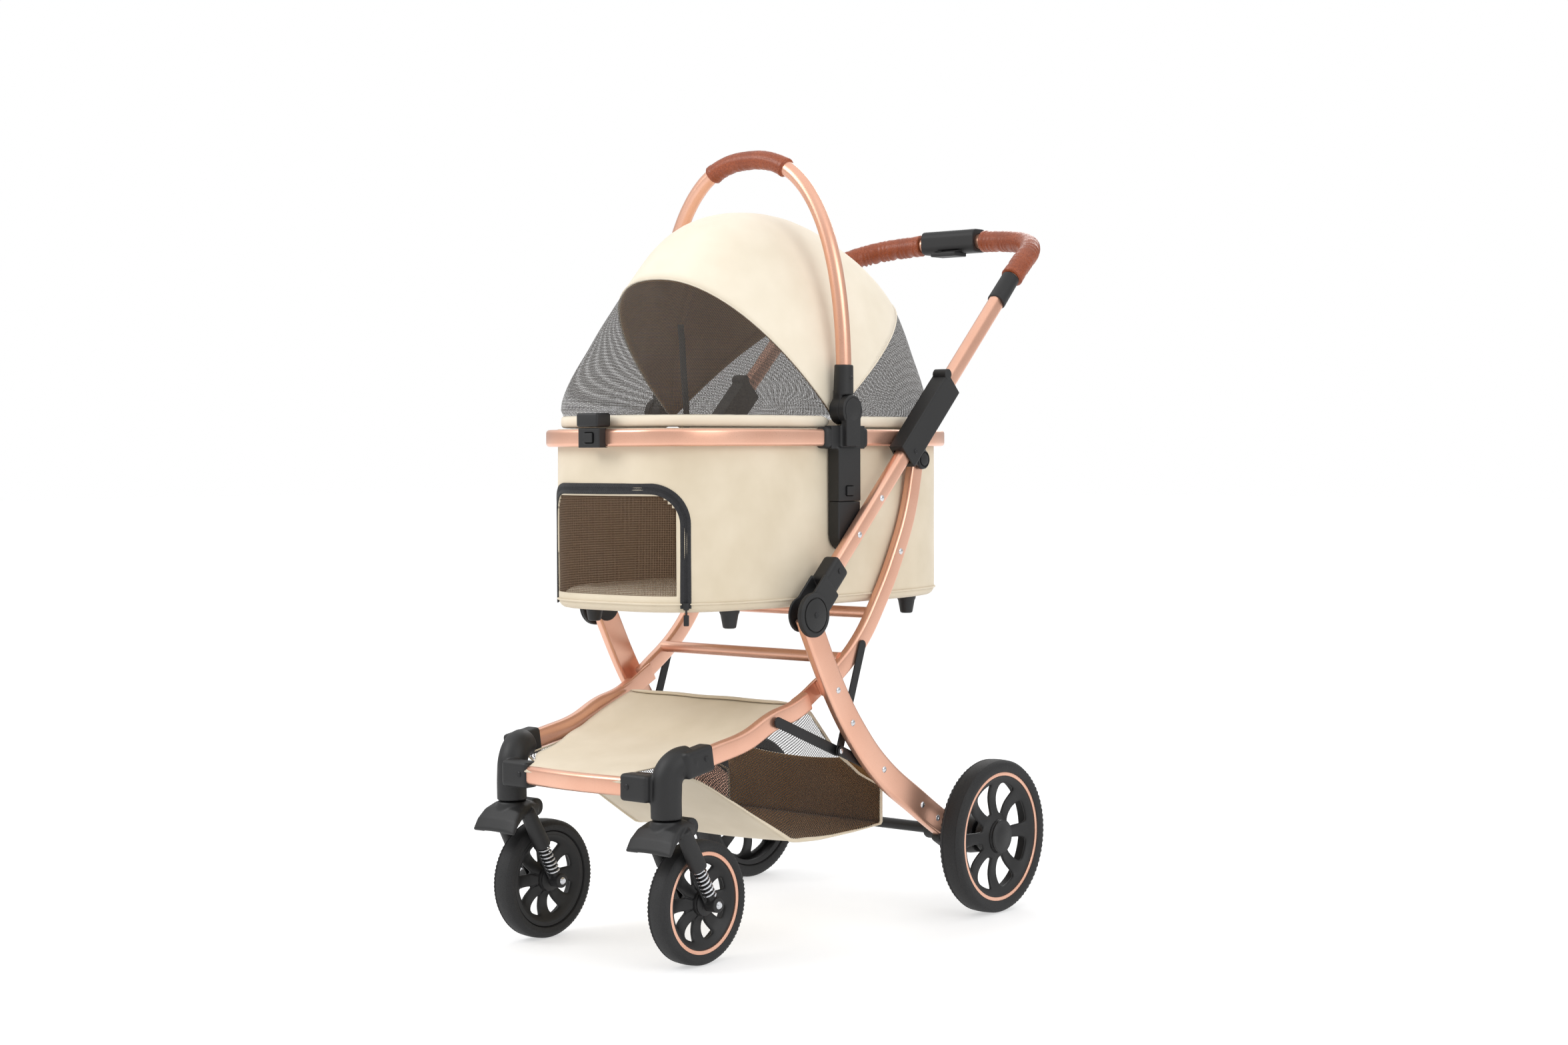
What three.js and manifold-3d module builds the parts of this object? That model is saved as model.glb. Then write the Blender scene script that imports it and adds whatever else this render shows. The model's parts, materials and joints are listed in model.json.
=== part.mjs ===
// Pet stroller: a folding four-wheel frame with a lift-off carrier.
// Millimetres, +Z up, +X is the stroller's own left, -Y is its front.
import * as THREE from 'three';
import { ConvexGeometry } from 'three/addons/geometries/ConvexGeometry.js';
import { mergeVertices } from 'three/addons/utils/BufferGeometryUtils.js';
import Module from 'manifold-3d';

const wasm = await Module();
wasm.setup();

// ---- Driving dimensions -------------------------------------------------
// Places are [y, z] in the side plane, with y = 0 over the rear axle.
const fitGap = 0.3;               // between pieces that seat in one another
const runGap = 1.2;               // between pieces that turn past one another

const rearWheel = { x: 244.5, radius: 115, width: 38, tyre: 19, hub: 26, spokes: 8, segments: 40 };
const frontWheel = { x: 148, y: -560, radius: 85, width: 35, tyre: 16, hub: 18, spokes: 8, segments: 32 };
const axle = { y: 0, z: rearWheel.radius, radius: 8.5 };

const legTop = [-385, 467];       // push arm hinge
const crossPivot = [-323, 357];   // rear leg, arc and front arm meet here
const rearRivet = [-217, 234];    // rear brace on the leg
const legBend = [-124, 172];
const legFoot = [-86, 148];

const arcRivet = [-242, 415];     // upright link on the arc
const arcPoints = [[-190, 478], [-147, 547], [-120, 605]];
const arcTop = [-100, 682];       // lug of the slider
const arc = { x: 175.3, thick: 15, high: 27, eye: 17 };
const crossbars = [[-275, 398], [-201, 459]];
const crossbar = { wide: 20, high: 16 };

const armRivet = [-425, 319];     // front brace on the front arm
const armPoints = [[-351, 342], [-380, 330], armRivet, [-478, 298], [-533, 287], [-602, 276]];
const arm = { x: 170, xFront: 164, thick: 15, high: 28, plate: 5 };

const braceMeet = [-296, 267];    // where the three brace bars cross
const brace = { thick: 2.4, wide: 15 };
const layerGap = 0.8;             // between the flat bars that lie side by side

// The legs stand outside the arcs, with two brace bars between them.
const leg = { thick: 15, high: 40, eye: 20 };
leg.x = arc.x + arc.thick / 2 + 3 * layerGap + 2 * brace.thick + leg.thick / 2;

const pushAngle = 44.5;           // degrees above the floor, leaning back
const push = { x: 197, thick: 18, wide: 25, start: 62, end: 690 };
const bowRadius = 12;
const bowPoints = [[195, 148, 985], [185, 186, 1008], [160, 216, 1022], [120, 232, 1030], [60, 239, 1034],
  [0, 241, 1036]];
const grip = { radius: 17, from: 0.06, to: 0.4 };
const handleHousing = { wide: 104, deep: 40, high: 38 };
const lever = { wide: 48, proud: 11, high: 7, sunk: 1.5, travel: 3.5 };
const socket = { radius: 32.5, thick: 28, bridge: 52, end: 96, wide: 36 };
const slider = { from: 312, to: 470, wide: 42, thick: 26, lugAt: 354, lugDrop: 46, lug: 15 };

const stem = { x: frontWheel.x, y: -620, radius: 21, bottom: 204, top: 300 };
const armSocket = { from: -560, to: -608, wide: 24, high: 38 };
const frontBar = { y: -638, z: 246, half: 104, deep: 15, high: 26, bow: 10 };
const suspension = { lean: 29.5, side: 30, legFrom: 62, legTo: 112, rod: 5.2, rodTo: 95, travel: 8 };
const spring = { outer: 9.5, inner: 6.2, from: 13, to: 60 };
const castorAxle = 5;

const ring = { y: -266, z: 714, halfLength: 334, halfWidth: 180, high: 24, thick: 15, power: 3.6 };
const tub = { bottom: 475, wall: 4, floor: 6, gap: 0.5 };
const foot = { x: 130, ys: [-470, -63], top: 14, tip: 9, high: 25 };
const rim = { bottom: 728.5, high: 17, wide: 14, inset: 18.5 };
const hood = { y: -273, halfWidth: 158, high: 299, wall: 3, lift: 1 };
// Angle of each bow from the front rim, how much further it reaches from the hub, and its shape.
const hoodBows = [[2.5, 6.5, 3.6], [22, -22.2, 2.9], [42.4, -20.2, 2.3], [66, -0.6, 2.15], [92, 0, 2.1],
  [118, 0.8, 2.15], [145, 11.2, 2.4], [160, -7.7, 3], [177.5, -2.5, 3.6]];
const hub = { y: -273, z: 753, radius: 18, x: 184 };
const carry = { half: 177, radius: 11, top: 1134, start: 782, power: 2.4, grip: 14.5, gripHalf: 0.115 };
const adapter = { wide: 50, thick: 20, inner: 167.5, seam: 623, bottom: 552, tongue: 26, sleeve: 76 };
const lockBox = { half: 20, deep: 13, from: 700.5, to: 727.5, latch: 20 };
const button = { wide: 17, high: 13, proud: 2.5, travel: 2.5, depth: 4.5, z: 638 };

const basket = { half: 150, wall: 3, front: -553, bottomFront: -361, bottomRear: -150, bottom: 141 };
const footboard = { thick: 3, halfRear: 157, halfFront: 128, hem: -366 };
const pedal = { x: 150, wide: 60, from: 26, to: 96, thick: 9 };

// ---- Materials -----------------------------------------------------------
const paint = () => new THREE.MeshStandardMaterial({ color: '#c98f76', metalness: 0.7, roughness: 0.38 });
const plastic = () => new THREE.MeshStandardMaterial({ color: '#2b2b2c', metalness: 0, roughness: 0.6 });
const rubber = () => new THREE.MeshStandardMaterial({ color: '#262627', metalness: 0, roughness: 0.85 });
const steel = () => new THREE.MeshStandardMaterial({ color: '#b9babd', metalness: 1, roughness: 0.25 });
const leather = () => new THREE.MeshStandardMaterial({ color: '#9a4a26', metalness: 0, roughness: 0.5 });
const fabric = () => new THREE.MeshStandardMaterial({ color: '#dccfb6', metalness: 0, roughness: 0.9 });

// ---- Solid helpers -------------------------------------------------------
function toSolid(geometry) {
  const bare = geometry.index ? geometry.toNonIndexed() : geometry.clone();
  bare.deleteAttribute('normal');
  bare.deleteAttribute('uv');
  const merged = mergeVertices(bare, 1e-4);
  const vertProperties = new Float32Array(merged.attributes.position.array);
  const triVerts = new Uint32Array(merged.index.array);
  return new wasm.Manifold(new wasm.Mesh({ numProp: 3, vertProperties, triVerts }));
}

function fromSolid(solid) {
  const mesh = solid.getMesh();
  const geometry = new THREE.BufferGeometry();
  geometry.setAttribute('position', new THREE.BufferAttribute(mesh.vertProperties.slice(), 3));
  geometry.setIndex(new THREE.BufferAttribute(mesh.triVerts.slice(), 1));
  return geometry;
}

function join(first, ...others) {
  return fromSolid(others.reduce((sum, next) => sum.add(toSolid(next)), toSolid(first)));
}

function cut(first, ...others) {
  return fromSolid(others.reduce((rest, next) => rest.subtract(toSolid(next)), toSolid(first)));
}

function common(first, second) {
  return fromSolid(toSolid(first).intersect(toSolid(second)));
}

// The left-hand shape as it is, or its mirror image for the right.
function onSide(geometry, side) {
  const shape = geometry.index ? geometry.toNonIndexed() : geometry.clone();
  if (side > 0) return shape;
  const p = shape.attributes.position;
  for (let i = 0; i < p.count; i += 3) {
    const [bx, by, bz] = [p.getX(i + 1), p.getY(i + 1), p.getZ(i + 1)];
    p.setXYZ(i + 1, p.getX(i + 2), p.getY(i + 2), p.getZ(i + 2));
    p.setXYZ(i + 2, bx, by, bz);
  }
  return shape.scale(-1, 1, 1);
}

function block(x0, x1, y0, y1, z0, z1) {
  const box = new THREE.BoxGeometry(x1 - x0, y1 - y0, z1 - z0);
  return box.translate((x0 + x1) / 2, (y0 + y1) / 2, (z0 + z1) / 2);
}

// A round bar along X between two planes, about a point of the side plane.
function barX([y, z], radius, x0, x1, segments = 20) {
  const bar = new THREE.CylinderGeometry(radius, radius, x1 - x0, segments);
  return bar.rotateZ(Math.PI / 2).translate((x0 + x1) / 2, y, z);
}

// A round bar between two points of space.
function barBetween(from, to, radius, segments = 12) {
  const along = new THREE.Vector3().subVectors(to, from);
  const bar = new THREE.CylinderGeometry(radius, radius, along.length(), segments);
  const upright = new THREE.Vector3(0, 1, 0);
  const turn = new THREE.Quaternion().setFromUnitVectors(upright, along.clone().normalize());
  return bar.applyQuaternion(turn).translate(...from.clone().addScaledVector(along, 0.5));
}

function barZ(x, y, radius, z0, z1, segments = 20, topRadius = radius) {
  const bar = new THREE.CylinderGeometry(topRadius, radius, z1 - z0, segments);
  return bar.rotateX(Math.PI / 2).translate(x, y, (z0 + z1) / 2);
}

function outline(points) {
  return new THREE.Shape(points.map(([a, b]) => new THREE.Vector2(a, b)));
}

// A shape drawn in the side plane, given a thickness from x0 to x1.
function plate(shape, x0, x1) {
  const body = new THREE.ExtrudeGeometry(shape, { depth: x1 - x0, bevelEnabled: false, curveSegments: 5 });
  const basis = new THREE.Matrix4().makeBasis(
    new THREE.Vector3(0, 1, 0), new THREE.Vector3(0, 0, 1), new THREE.Vector3(1, 0, 0));
  return body.applyMatrix4(basis).translate(x0, 0, 0);
}

function roundedRect(w, h, r) {
  const s = new THREE.Shape();
  s.moveTo(-w / 2 + r, -h / 2).lineTo(w / 2 - r, -h / 2).absarc(w / 2 - r, -h / 2 + r, r, -Math.PI / 2, 0);
  s.lineTo(w / 2, h / 2 - r).absarc(w / 2 - r, h / 2 - r, r, 0, Math.PI / 2);
  s.lineTo(-w / 2 + r, h / 2).absarc(-w / 2 + r, h / 2 - r, r, Math.PI / 2, Math.PI);
  s.lineTo(-w / 2, -h / 2 + r).absarc(-w / 2 + r, -h / 2 + r, r, Math.PI, 1.5 * Math.PI);
  return s;
}

function circle(radius, hole = 0) {
  const s = new THREE.Shape().absarc(0, 0, radius, 0, 2 * Math.PI);
  if (hole) s.holes.push(new THREE.Path().absarc(0, 0, hole, 0, 2 * Math.PI, true));
  return s;
}

function sweep(shape, curve, steps, curveSegments = 1) {
  return new THREE.ExtrudeGeometry(shape, { steps, extrudePath: curve, bevelEnabled: false, curveSegments });
}

function smooth(points) {
  return new THREE.CatmullRomCurve3(points, false, 'centripetal');
}

// A flat-oval bar bent in the side plane at the distance x from the middle.
function bentBar(points, x, thick, high, steps) {
  const curve = smooth(points.map(([y, z]) => new THREE.Vector3(x, y, z)));
  return sweep(roundedRect(thick, high, Math.min(thick, high) * 0.35), curve, steps);
}

function turned(profile, segments) {
  const points = profile.map(([r, h]) => new THREE.Vector2(r, h));
  return new THREE.LatheGeometry(points, segments).rotateZ(-Math.PI / 2);
}

// A flat strip with round ends between two points of the side plane.
function strip([y0, z0], [y1, z1], wide, x0, x1) {
  const angle = Math.atan2(z1 - z0, y1 - y0);
  const s = new THREE.Shape();
  s.absarc(y1, z1, wide / 2, angle - Math.PI / 2, angle + Math.PI / 2);
  s.absarc(y0, z0, wide / 2, angle + Math.PI / 2, angle + 1.5 * Math.PI);
  return plate(s, x0, x1);
}

function superEllipse(a, b, power, count, yMid) {
  const points = [];
  for (let i = 0; i < count; i += 1) {
    const t = (2 * Math.PI * i) / count;
    const x = Math.sign(Math.cos(t)) * b * Math.abs(Math.cos(t)) ** (2 / power);
    const y = Math.sign(Math.sin(t)) * a * Math.abs(Math.sin(t)) ** (2 / power);
    points.push([x, y + yMid]);
  }
  return points;
}

function prism(points, z0, z1) {
  const body = new THREE.ExtrudeGeometry(outline(points), { depth: z1 - z0, bevelEnabled: false });
  return body.translate(0, 0, z0);
}

// ---- Push-arm axes -------------------------------------------------------
const pushLean = THREE.MathUtils.degToRad(pushAngle);
const pushDir = [Math.cos(pushLean), Math.sin(pushLean)];
const onPush = (s, drop = 0) => [
  legTop[0] + s * pushDir[0] + drop * pushDir[1],
  legTop[1] + s * pushDir[1] - drop * pushDir[0]];
const pushPoint = (s, x = push.x) => new THREE.Vector3(x, ...onPush(s));

// A strip lying along the push arm, from s0 to s1, of the given width.
const alongPush = (s0, s1, wide, x0, x1) => {
  const half = wide / 2;
  const corners = [onPush(s0, half), onPush(s1, half), onPush(s1, -half), onPush(s0, -half)];
  return plate(outline(corners), x0, x1);
};

// ---- Rear frame ----------------------------------------------------------
const legPath = [legTop, crossPivot, [-276, 293], rearRivet, legBend, legFoot];

function rearLeg() {
  const bar = bentBar(legPath.slice(), leg.x, leg.thick, leg.high, 12);
  return join(bar, barX(legTop, leg.eye, leg.x - leg.thick / 2, leg.x + leg.thick / 2));
}

function legClearance() {
  return bentBar(legPath, leg.x, leg.thick + 2 * fitGap, leg.high + 2 * fitGap, 12);
}

function rearAxle() {
  const half = rearWheel.x + rearWheel.width / 2 - 8;
  return barX([axle.y, axle.z], axle.radius, -half, half);
}

function axleBracket() {
  const [y, z] = legFoot;
  const x0 = leg.x - leg.thick / 2 - 4;
  const x1 = leg.x + leg.thick / 2 + 3;
  const shape = outline([[y - 24, z + 44], [y + 12, z + 26], [22, axle.z + 20], [26, axle.z - 12],
    [10, axle.z - 22], [-30, axle.z - 22], [y - 14, z - 34], [y - 44, z - 8]]);
  const drumEnd = rearWheel.x - rearWheel.width / 2 - runGap;
  const body = join(plate(shape, x0, x1), barX([axle.y, axle.z], 34, x0, drumEnd, 28));
  const bore = barX([axle.y, axle.z], axle.radius + fitGap, x0 - 1, drumEnd + 1);
  return cut(body, legClearance(), bore);
}

function brakePedal() {
  const x0 = leg.x - leg.thick / 2 - 4 - runGap - pedal.wide;
  const eye = barX([axle.y, axle.z], axle.radius + 7, x0, x0 + pedal.wide);
  const low = axle.z - pedal.thick / 2;
  const tread = block(x0, x0 + pedal.wide, pedal.from - 16, pedal.to, low, low + pedal.thick);
  return cut(join(eye, tread), barX([axle.y, axle.z], axle.radius + fitGap, x0 - 1, x0 + pedal.wide + 1));
}

function basketShell() {
  const [xy, xz] = crossPivot;
  const { half, wall, front, bottomFront, bottomRear, bottom } = basket;
  const top = [[front, 258], [armRivet[0], 294], [xy - 26, xz - 32]];
  const open = [[-262, 262], [bottomRear, 196]];
  const outer = outline([...top, ...open, [bottomRear, bottom], [bottomFront, bottom]]);
  const inner = outline([[front + 3 * wall, 258 - wall], [armRivet[0], 294 - wall], [xy - 26, xz - 32 - wall],
    [xy, xz], [bottomRear + 30, 230], [bottomRear - wall, 196 - 2 * wall],
    [bottomRear - wall, bottom + wall], [bottomFront + wall, bottom + wall]]);
  return cut(plate(outer, -half, half), plate(inner, -half + wall, half - wall));
}

// ---- Wheels --------------------------------------------------------------
function rimOf(wheel, bore) {
  const outer = wheel.radius - wheel.tyre;
  const inner = outer - 9;
  const half = wheel.width / 2 - 5;
  const section = [[inner, -half], [outer, -half], [outer, half], [inner, half], [inner, -half]];
  const band = turned(section, wheel.segments);
  let body = join(band, barX([0, 0], wheel.hub, -wheel.width / 2, wheel.width / 2, 20));
  for (let i = 0; i < wheel.spokes; i += 1) {
    const spoke = block(-half + 3, half - 2, wheel.hub - 5, inner + 4, -4.5, 4.5);
    body = join(body, spoke.rotateX((2 * Math.PI * i) / wheel.spokes));
  }
  return cut(body, barX([0, 0], bore + fitGap, -wheel.width, wheel.width, 16));
}

// The facets of a wheel touch its true radius, so it stands on a flat.
function tyreOf(wheel) {
  const seat = wheel.radius - wheel.tyre + fitGap;
  const r = wheel.radius / Math.cos(Math.PI / wheel.segments);
  const w = wheel.width / 2;
  const profile = [[seat, -w + 3], [r - 7, -w], [r, -w / 3], [r, w / 3], [r - 7, w], [seat, w - 3],
    [seat, -w + 3]];
  return turned(profile, wheel.segments);
}

// ---- Push arm ------------------------------------------------------------
const bowCurve = () => {
  const left = [pushPoint(push.end - 4), ...bowPoints.map((p) => new THREE.Vector3(...p))];
  const right = left.slice(0, -1).reverse().map((p) => new THREE.Vector3(-p.x, p.y, p.z));
  return smooth([...left, ...right]);
};

function pushFrame() {
  const arms = [1, -1].map((side) => {
    const line = new THREE.LineCurve3(pushPoint(push.start), pushPoint(push.end));
    return onSide(sweep(roundedRect(push.thick, push.wide, 7), line, 1, 2), side);
  });
  return join(arms[0], sweep(circle(bowRadius), bowCurve(), 36, 5), arms[1]);
}

class Stretch extends THREE.Curve {
  constructor(curve, from, to) {
    super();
    Object.assign(this, { curve, from, to });
  }

  getPoint(t, target = new THREE.Vector3()) {
    return this.curve.getPointAt(this.from + (this.to - this.from) * t, target);
  }
}

function handleGrip() {
  const wrap = circle(grip.radius, bowRadius + 2 * fitGap);
  return sweep(wrap, new Stretch(bowCurve(), grip.from, grip.to), 13, 5);
}

function housingOfHandle() {
  const [, y, z] = bowPoints.at(-1);
  const { wide, deep, high } = handleHousing;
  const shell = sweep(roundedRect(high, deep, 11), new THREE.LineCurve3(
    new THREE.Vector3(-wide / 2, y, z), new THREE.Vector3(wide / 2, y, z)), 1, 2);
  const tunnel = sweep(circle(bowRadius + 2 * fitGap), new Stretch(bowCurve(), 0.38, 0.62), 12, 5);
  const slot = block(-lever.wide / 2 - runGap, lever.wide / 2 + runGap, y - deep, y + 4,
    z - high / 2 - 2, z - high / 2 + lever.sunk + lever.travel + 2 * fitGap);
  return cut(shell, tunnel, slot);
}

function foldLever() {
  const [, y, z] = bowPoints.at(-1);
  const top = z - handleHousing.high / 2 + lever.sunk;
  const front = y - handleHousing.deep / 2 - lever.proud;
  return block(-lever.wide / 2, lever.wide / 2, front, y + 2, top - lever.high, top);
}

function hingeSocket() {
  const { radius, thick, bridge, end, wide } = socket;
  const x0 = leg.x - thick / 2;
  const x1 = leg.x + thick / 2 + 2;
  const disc = barX(legTop, radius, x0, x1, 32);
  const sleeve = alongPush(0, end, wide, x0, x1);
  const eyeHalf = (leg.thick + runGap) / 2;
  const eyeGap = alongPush(-60, bridge, 2.5 * radius, leg.x - eyeHalf, leg.x + eyeHalf);
  const tubeGap = alongPush(push.start - 1, end + 5, push.wide + 2 * fitGap,
    push.x - push.thick / 2 - fitGap, push.x + push.thick / 2 + fitGap);
  return cut(join(disc, sleeve), eyeGap, tubeGap);
}

function foldSlider() {
  const { from, to, wide, thick, lugAt, lugDrop, lug } = slider;
  const x0 = push.x - thick / 2;
  const x1 = push.x + thick / 2;
  const body = alongPush(from, to, wide, x0, x1);
  const plateEnd = x0 + 6;
  const ear = barX(onPush(lugAt, lugDrop), lug, x0, plateEnd);
  const web = plate(outline([onPush(from + 12, wide / 2 - 4), onPush(from + 60, wide / 2 - 4),
    onPush(lugAt + lug - 1, lugDrop), onPush(lugAt - lug + 1, lugDrop)]), x0, plateEnd);
  const tunnel = alongPush(from - 5, to + 5, push.wide + 2 * fitGap,
    push.x - push.thick / 2 - fitGap, push.x + push.thick / 2 + fitGap);
  return cut(join(body, web, ear), tunnel);
}

function receiver() {
  const { wide, thick, inner, seam, bottom, tongue } = adapter;
  const outer = inner + thick - 0.5;
  const body = block(inner, outer, hub.y - wide / 2, hub.y + wide / 2, bottom + wide / 2, seam - fitGap);
  const heel = barX([hub.y, bottom + wide / 2], wide / 2, inner, outer, 24);
  const pocket = block(inner + 5 - fitGap, inner + 14 + fitGap, hub.y - tongue / 2 - fitGap,
    hub.y + tongue / 2 + fitGap, bottom + wide / 2 - fitGap, seam + 1);
  return cut(join(body, heel), pocket);
}

// ---- Arc and front arms --------------------------------------------------
function arcFrame() {
  const points = [crossPivot, arcRivet, ...arcPoints, arcTop];
  const sides = [1, -1].map((side) => {
    const bar = bentBar(points, arc.x, arc.thick, arc.high, 10);
    const ends = [[arcTop, arc.eye - 3], [crossPivot, arc.eye]].map(
      ([at, radius]) => barX(at, radius, arc.x - arc.thick / 2, arc.x + arc.thick / 2));
    return onSide(join(bar, ...ends), side);
  });
  const reach = arc.x - arc.thick / 4;
  const bars = crossbars.map(([y, z]) => {
    const line = new THREE.LineCurve3(new THREE.Vector3(-reach, y, z), new THREE.Vector3(reach, y, z));
    return sweep(roundedRect(crossbar.high, crossbar.wide, 7), line, 1, 2);
  });
  return join(sides[0], ...bars, sides[1]);
}

function frontArm() {
  const front = armPoints.at(-1)[0];
  const [rear] = armPoints[0];
  const points = armPoints.map(([y, z]) => {
    const t = (y - rear) / (front - rear);
    return new THREE.Vector3(arm.x + (arm.xFront - arm.x) * t, y, z);
  });
  const bar = sweep(roundedRect(arm.thick, arm.high, 5), smooth(points), 9);
  const inner = arc.x - arc.thick / 2 - runGap - arm.plate;
  const eye = barX(crossPivot, 15, inner, inner + arm.plate);
  const tab = strip(crossPivot, armPoints[1], 24, inner, inner + arm.plate);
  return join(bar, tab, eye);
}

function frontArmClearance() {
  const points = armPoints.slice(-3).map(([y, z], i) => new THREE.Vector3(
    arm.xFront + (arm.x - arm.xFront) * [0.49, 0.27, 0][i], y, z));
  points.push(new THREE.Vector3(arm.xFront, armSocket.to, armPoints.at(-1)[1] - 1));
  return sweep(roundedRect(arm.thick + 2, arm.high + 2, 5.5), smooth(points), 10);
}

function castorBracket() {
  const { x, y, radius, bottom, top } = stem;
  const post = join(barZ(x, y, radius, bottom, top - 12), barZ(x, y, radius, top - 12, top, 20, radius - 9));
  const { from, to, wide, high } = armSocket;
  const low = armPoints.at(-1)[1] + 2 - high / 2;
  const sleeve = block(arm.xFront - wide / 2, arm.xFront + wide / 2, to - 8, from, low, low + high);
  const { y: barY, z: barHeight } = frontBar;
  const cup = block(frontBar.half - 14, x, barY - 13, barY + 13, barHeight - 18, barHeight + 18);
  return cut(join(post, sleeve, cup), frontArmClearance(), crossbarSolid(2 * fitGap));
}

function crossbarSolid(grow = 0) {
  const { y, z, half, deep, high, bow } = frontBar;
  const points = [-half - grow, -half / 2, 0, half / 2, half + grow].map((x) => {
    const t = Math.min(1, Math.abs(x) / half);
    return new THREE.Vector3(x, y - bow * (1 - t * t), z);
  });
  return sweep(roundedRect(high + 2 * grow, deep + 2 * grow, 6), smooth(points), 8);
}

function footboardSheet() {
  const upper = [[frontBar.y + 16, frontBar.z + 16], [-602, 270], [-533, 283], [-478, 294], armRivet,
    [footboard.hem, 338]];
  const lower = upper.map(([y, z]) => [y + 0.6, z - footboard.thick]).reverse();
  const half = footboard.halfRear;
  const sheet = plate(outline([...upper, ...lower]), -half, half);
  const { halfFront } = footboard;
  const right = [[-half, -300], [-half, -440], [-halfFront + 10, -560], [-halfFront + 12, frontBar.y]];
  const left = right.map(([x, y]) => [-x, y]).reverse();
  const plan = prism([...right, ...left], 200, 400);
  return common(sheet, plan);
}

// ---- Castors: built about the wheel's own centre ------------------------------
const lean = THREE.MathUtils.degToRad(suspension.lean);
const alongLeg = (s, x) => new THREE.Vector3(x, -s * Math.sin(lean), s * Math.cos(lean));

function fork() {
  const { radius } = stem;
  const y = stem.y - frontWheel.y;
  const top = stem.bottom - runGap - frontWheel.radius;
  const under = frontWheel.radius + suspension.travel + 3;
  const wide = suspension.side + 9;
  const crown = barZ(0, y, radius, under, top);
  const shape = outline([[y - radius, top - 8], [y - 36, 84], [y - 29, 80], [y - 14, under], [y + 34, under],
    [y + 36, under + 8], [y + radius, top - 3]]);
  let body = join(crown, plate(shape, -wide, wide));
  for (const side of [-1, 1]) {
    const x = side * suspension.side;
    body = join(body, barBetween(alongLeg(suspension.legFrom, x), alongLeg(suspension.legTo, x), 9.5));
  }
  for (const side of [-1, 1]) {
    const x = side * suspension.side;
    body = cut(body, barBetween(alongLeg(suspension.legFrom - 1, x), alongLeg(suspension.rodTo + 10, x),
      suspension.rod + 2 * fitGap));
  }
  return body;
}

function axleYoke() {
  const { side, rod, rodTo } = suspension;
  let body = barX([0, 0], castorAxle, -side - 10, side + 10, 16);
  for (const way of [-1, 1]) {
    const x = way * side;
    const end = barX([0, 0], 10.5, x - 9, x + 9);
    body = join(body, end, barBetween(alongLeg(0, x), alongLeg(rodTo, x), rod, 12));
  }
  return body;
}

function coilSpring(side) {
  const x = side * suspension.side;
  const from = alongLeg(spring.from, x);
  const to = alongLeg(spring.to, x);
  const run = [alongLeg(spring.from - 1, x), alongLeg(spring.to + 1, x)];
  return cut(barBetween(from, to, spring.outer), barBetween(...run, spring.inner));
}

// ---- Braces ------------------------------------------------------------------
const linkX = arc.x + arc.thick / 2 + layerGap;
const rearBraceX = linkX + brace.thick + layerGap;
const uprightLink = () => strip(arcRivet, braceMeet, brace.wide, linkX, linkX + brace.thick);
const rearBrace = () => strip(rearRivet, braceMeet, brace.wide, rearBraceX, rearBraceX + brace.thick);
const frontBrace = () => {
  const x = arm.x + arm.thick / 2 + layerGap;
  return strip(armRivet, braceMeet, brace.wide, x, x + brace.thick);
};

// ---- Carrier -----------------------------------------------------------------
function ovalPoints(inset, count = 44) {
  const { halfLength, halfWidth, power, y } = ring;
  return superEllipse(halfLength - inset, halfWidth - inset, power, count, y);
}

function ovalRing(inset, thick, z0, z1) {
  return cut(prism(ovalPoints(inset), z0, z1), prism(ovalPoints(inset + thick), z0 - 1, z1 + 1));
}

function carrierRing() {
  const { z, high, thick } = ring;
  const chamfer = high / 6;
  const shape = outline(ovalPoints(chamfer));
  shape.holes.push(new THREE.Path(outline(ovalPoints(thick - chamfer)).getPoints().reverse()));
  const bevel = { bevelThickness: chamfer, bevelSize: chamfer, bevelSegments: 1 };
  const body = new THREE.ExtrudeGeometry(shape, { depth: high - 2 * chamfer, ...bevel });
  return body.translate(0, 0, z - high / 2 + chamfer);
}

function tubShell() {
  const inset = ring.thick + tub.gap;
  const top = ring.z + ring.high / 2 + 1;
  const walls = cut(prism(ovalPoints(inset), tub.bottom, top),
    prism(ovalPoints(inset + tub.wall), tub.bottom + tub.floor, top + 1));
  const feet = [1, -1].flatMap((side) => foot.ys.map(
    (y) => barZ(side * foot.x, y, foot.tip, tub.bottom - foot.high, tub.bottom + 2, 16, foot.top)));
  return join(walls, ...feet);
}

function carrierClamp() {
  const { wide, thick, inner, seam, bottom, tongue, sleeve } = adapter;
  const { z, high, halfWidth } = ring;
  const outer = inner + thick;
  const drop = z - high / 2 - 4;
  const over = z + high / 2 + 5;
  const cuff = block(halfWidth - 9, halfWidth + 5, hub.y - sleeve / 2, hub.y + sleeve / 2, drop, over);
  const post = block(inner, outer, hub.y - wide / 2, hub.y + wide / 2, seam, drop + 2);
  const low = bottom + wide / 2;
  const peg = block(inner + 5, inner + 14, hub.y - tongue / 2, hub.y + tongue / 2, low, seam + 1);
  const ear = barX([hub.y, hub.z], hub.radius, hub.x, hub.x + 11);
  const earHalf = hub.radius - 2;
  const neck = block(hub.x, hub.x + 11, hub.y - earHalf, hub.y + earHalf, z, hub.z);
  const bridge = block(halfWidth - 6, hub.x + 11, hub.y - earHalf, hub.y + earHalf, z - high / 2, over);
  const body = join(cuff, post, peg, bridge, neck, ear);
  const ringGap = prism(ovalPoints(-fitGap), z - high / 2 - fitGap, z + high / 2 + fitGap);
  return cut(body, ringGap, buttonPocket(outer, hub.y, button.z));
}

// A push button set in a face that looks along +X.
function buttonPocket(face, y, z) {
  const { wide, high, depth } = button;
  const halfWide = wide / 2 + 0.4;
  const halfHigh = high / 2 + 0.4;
  return block(face - depth, face + 1, y - halfWide, y + halfWide, z - halfHigh, z + halfHigh);
}

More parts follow.
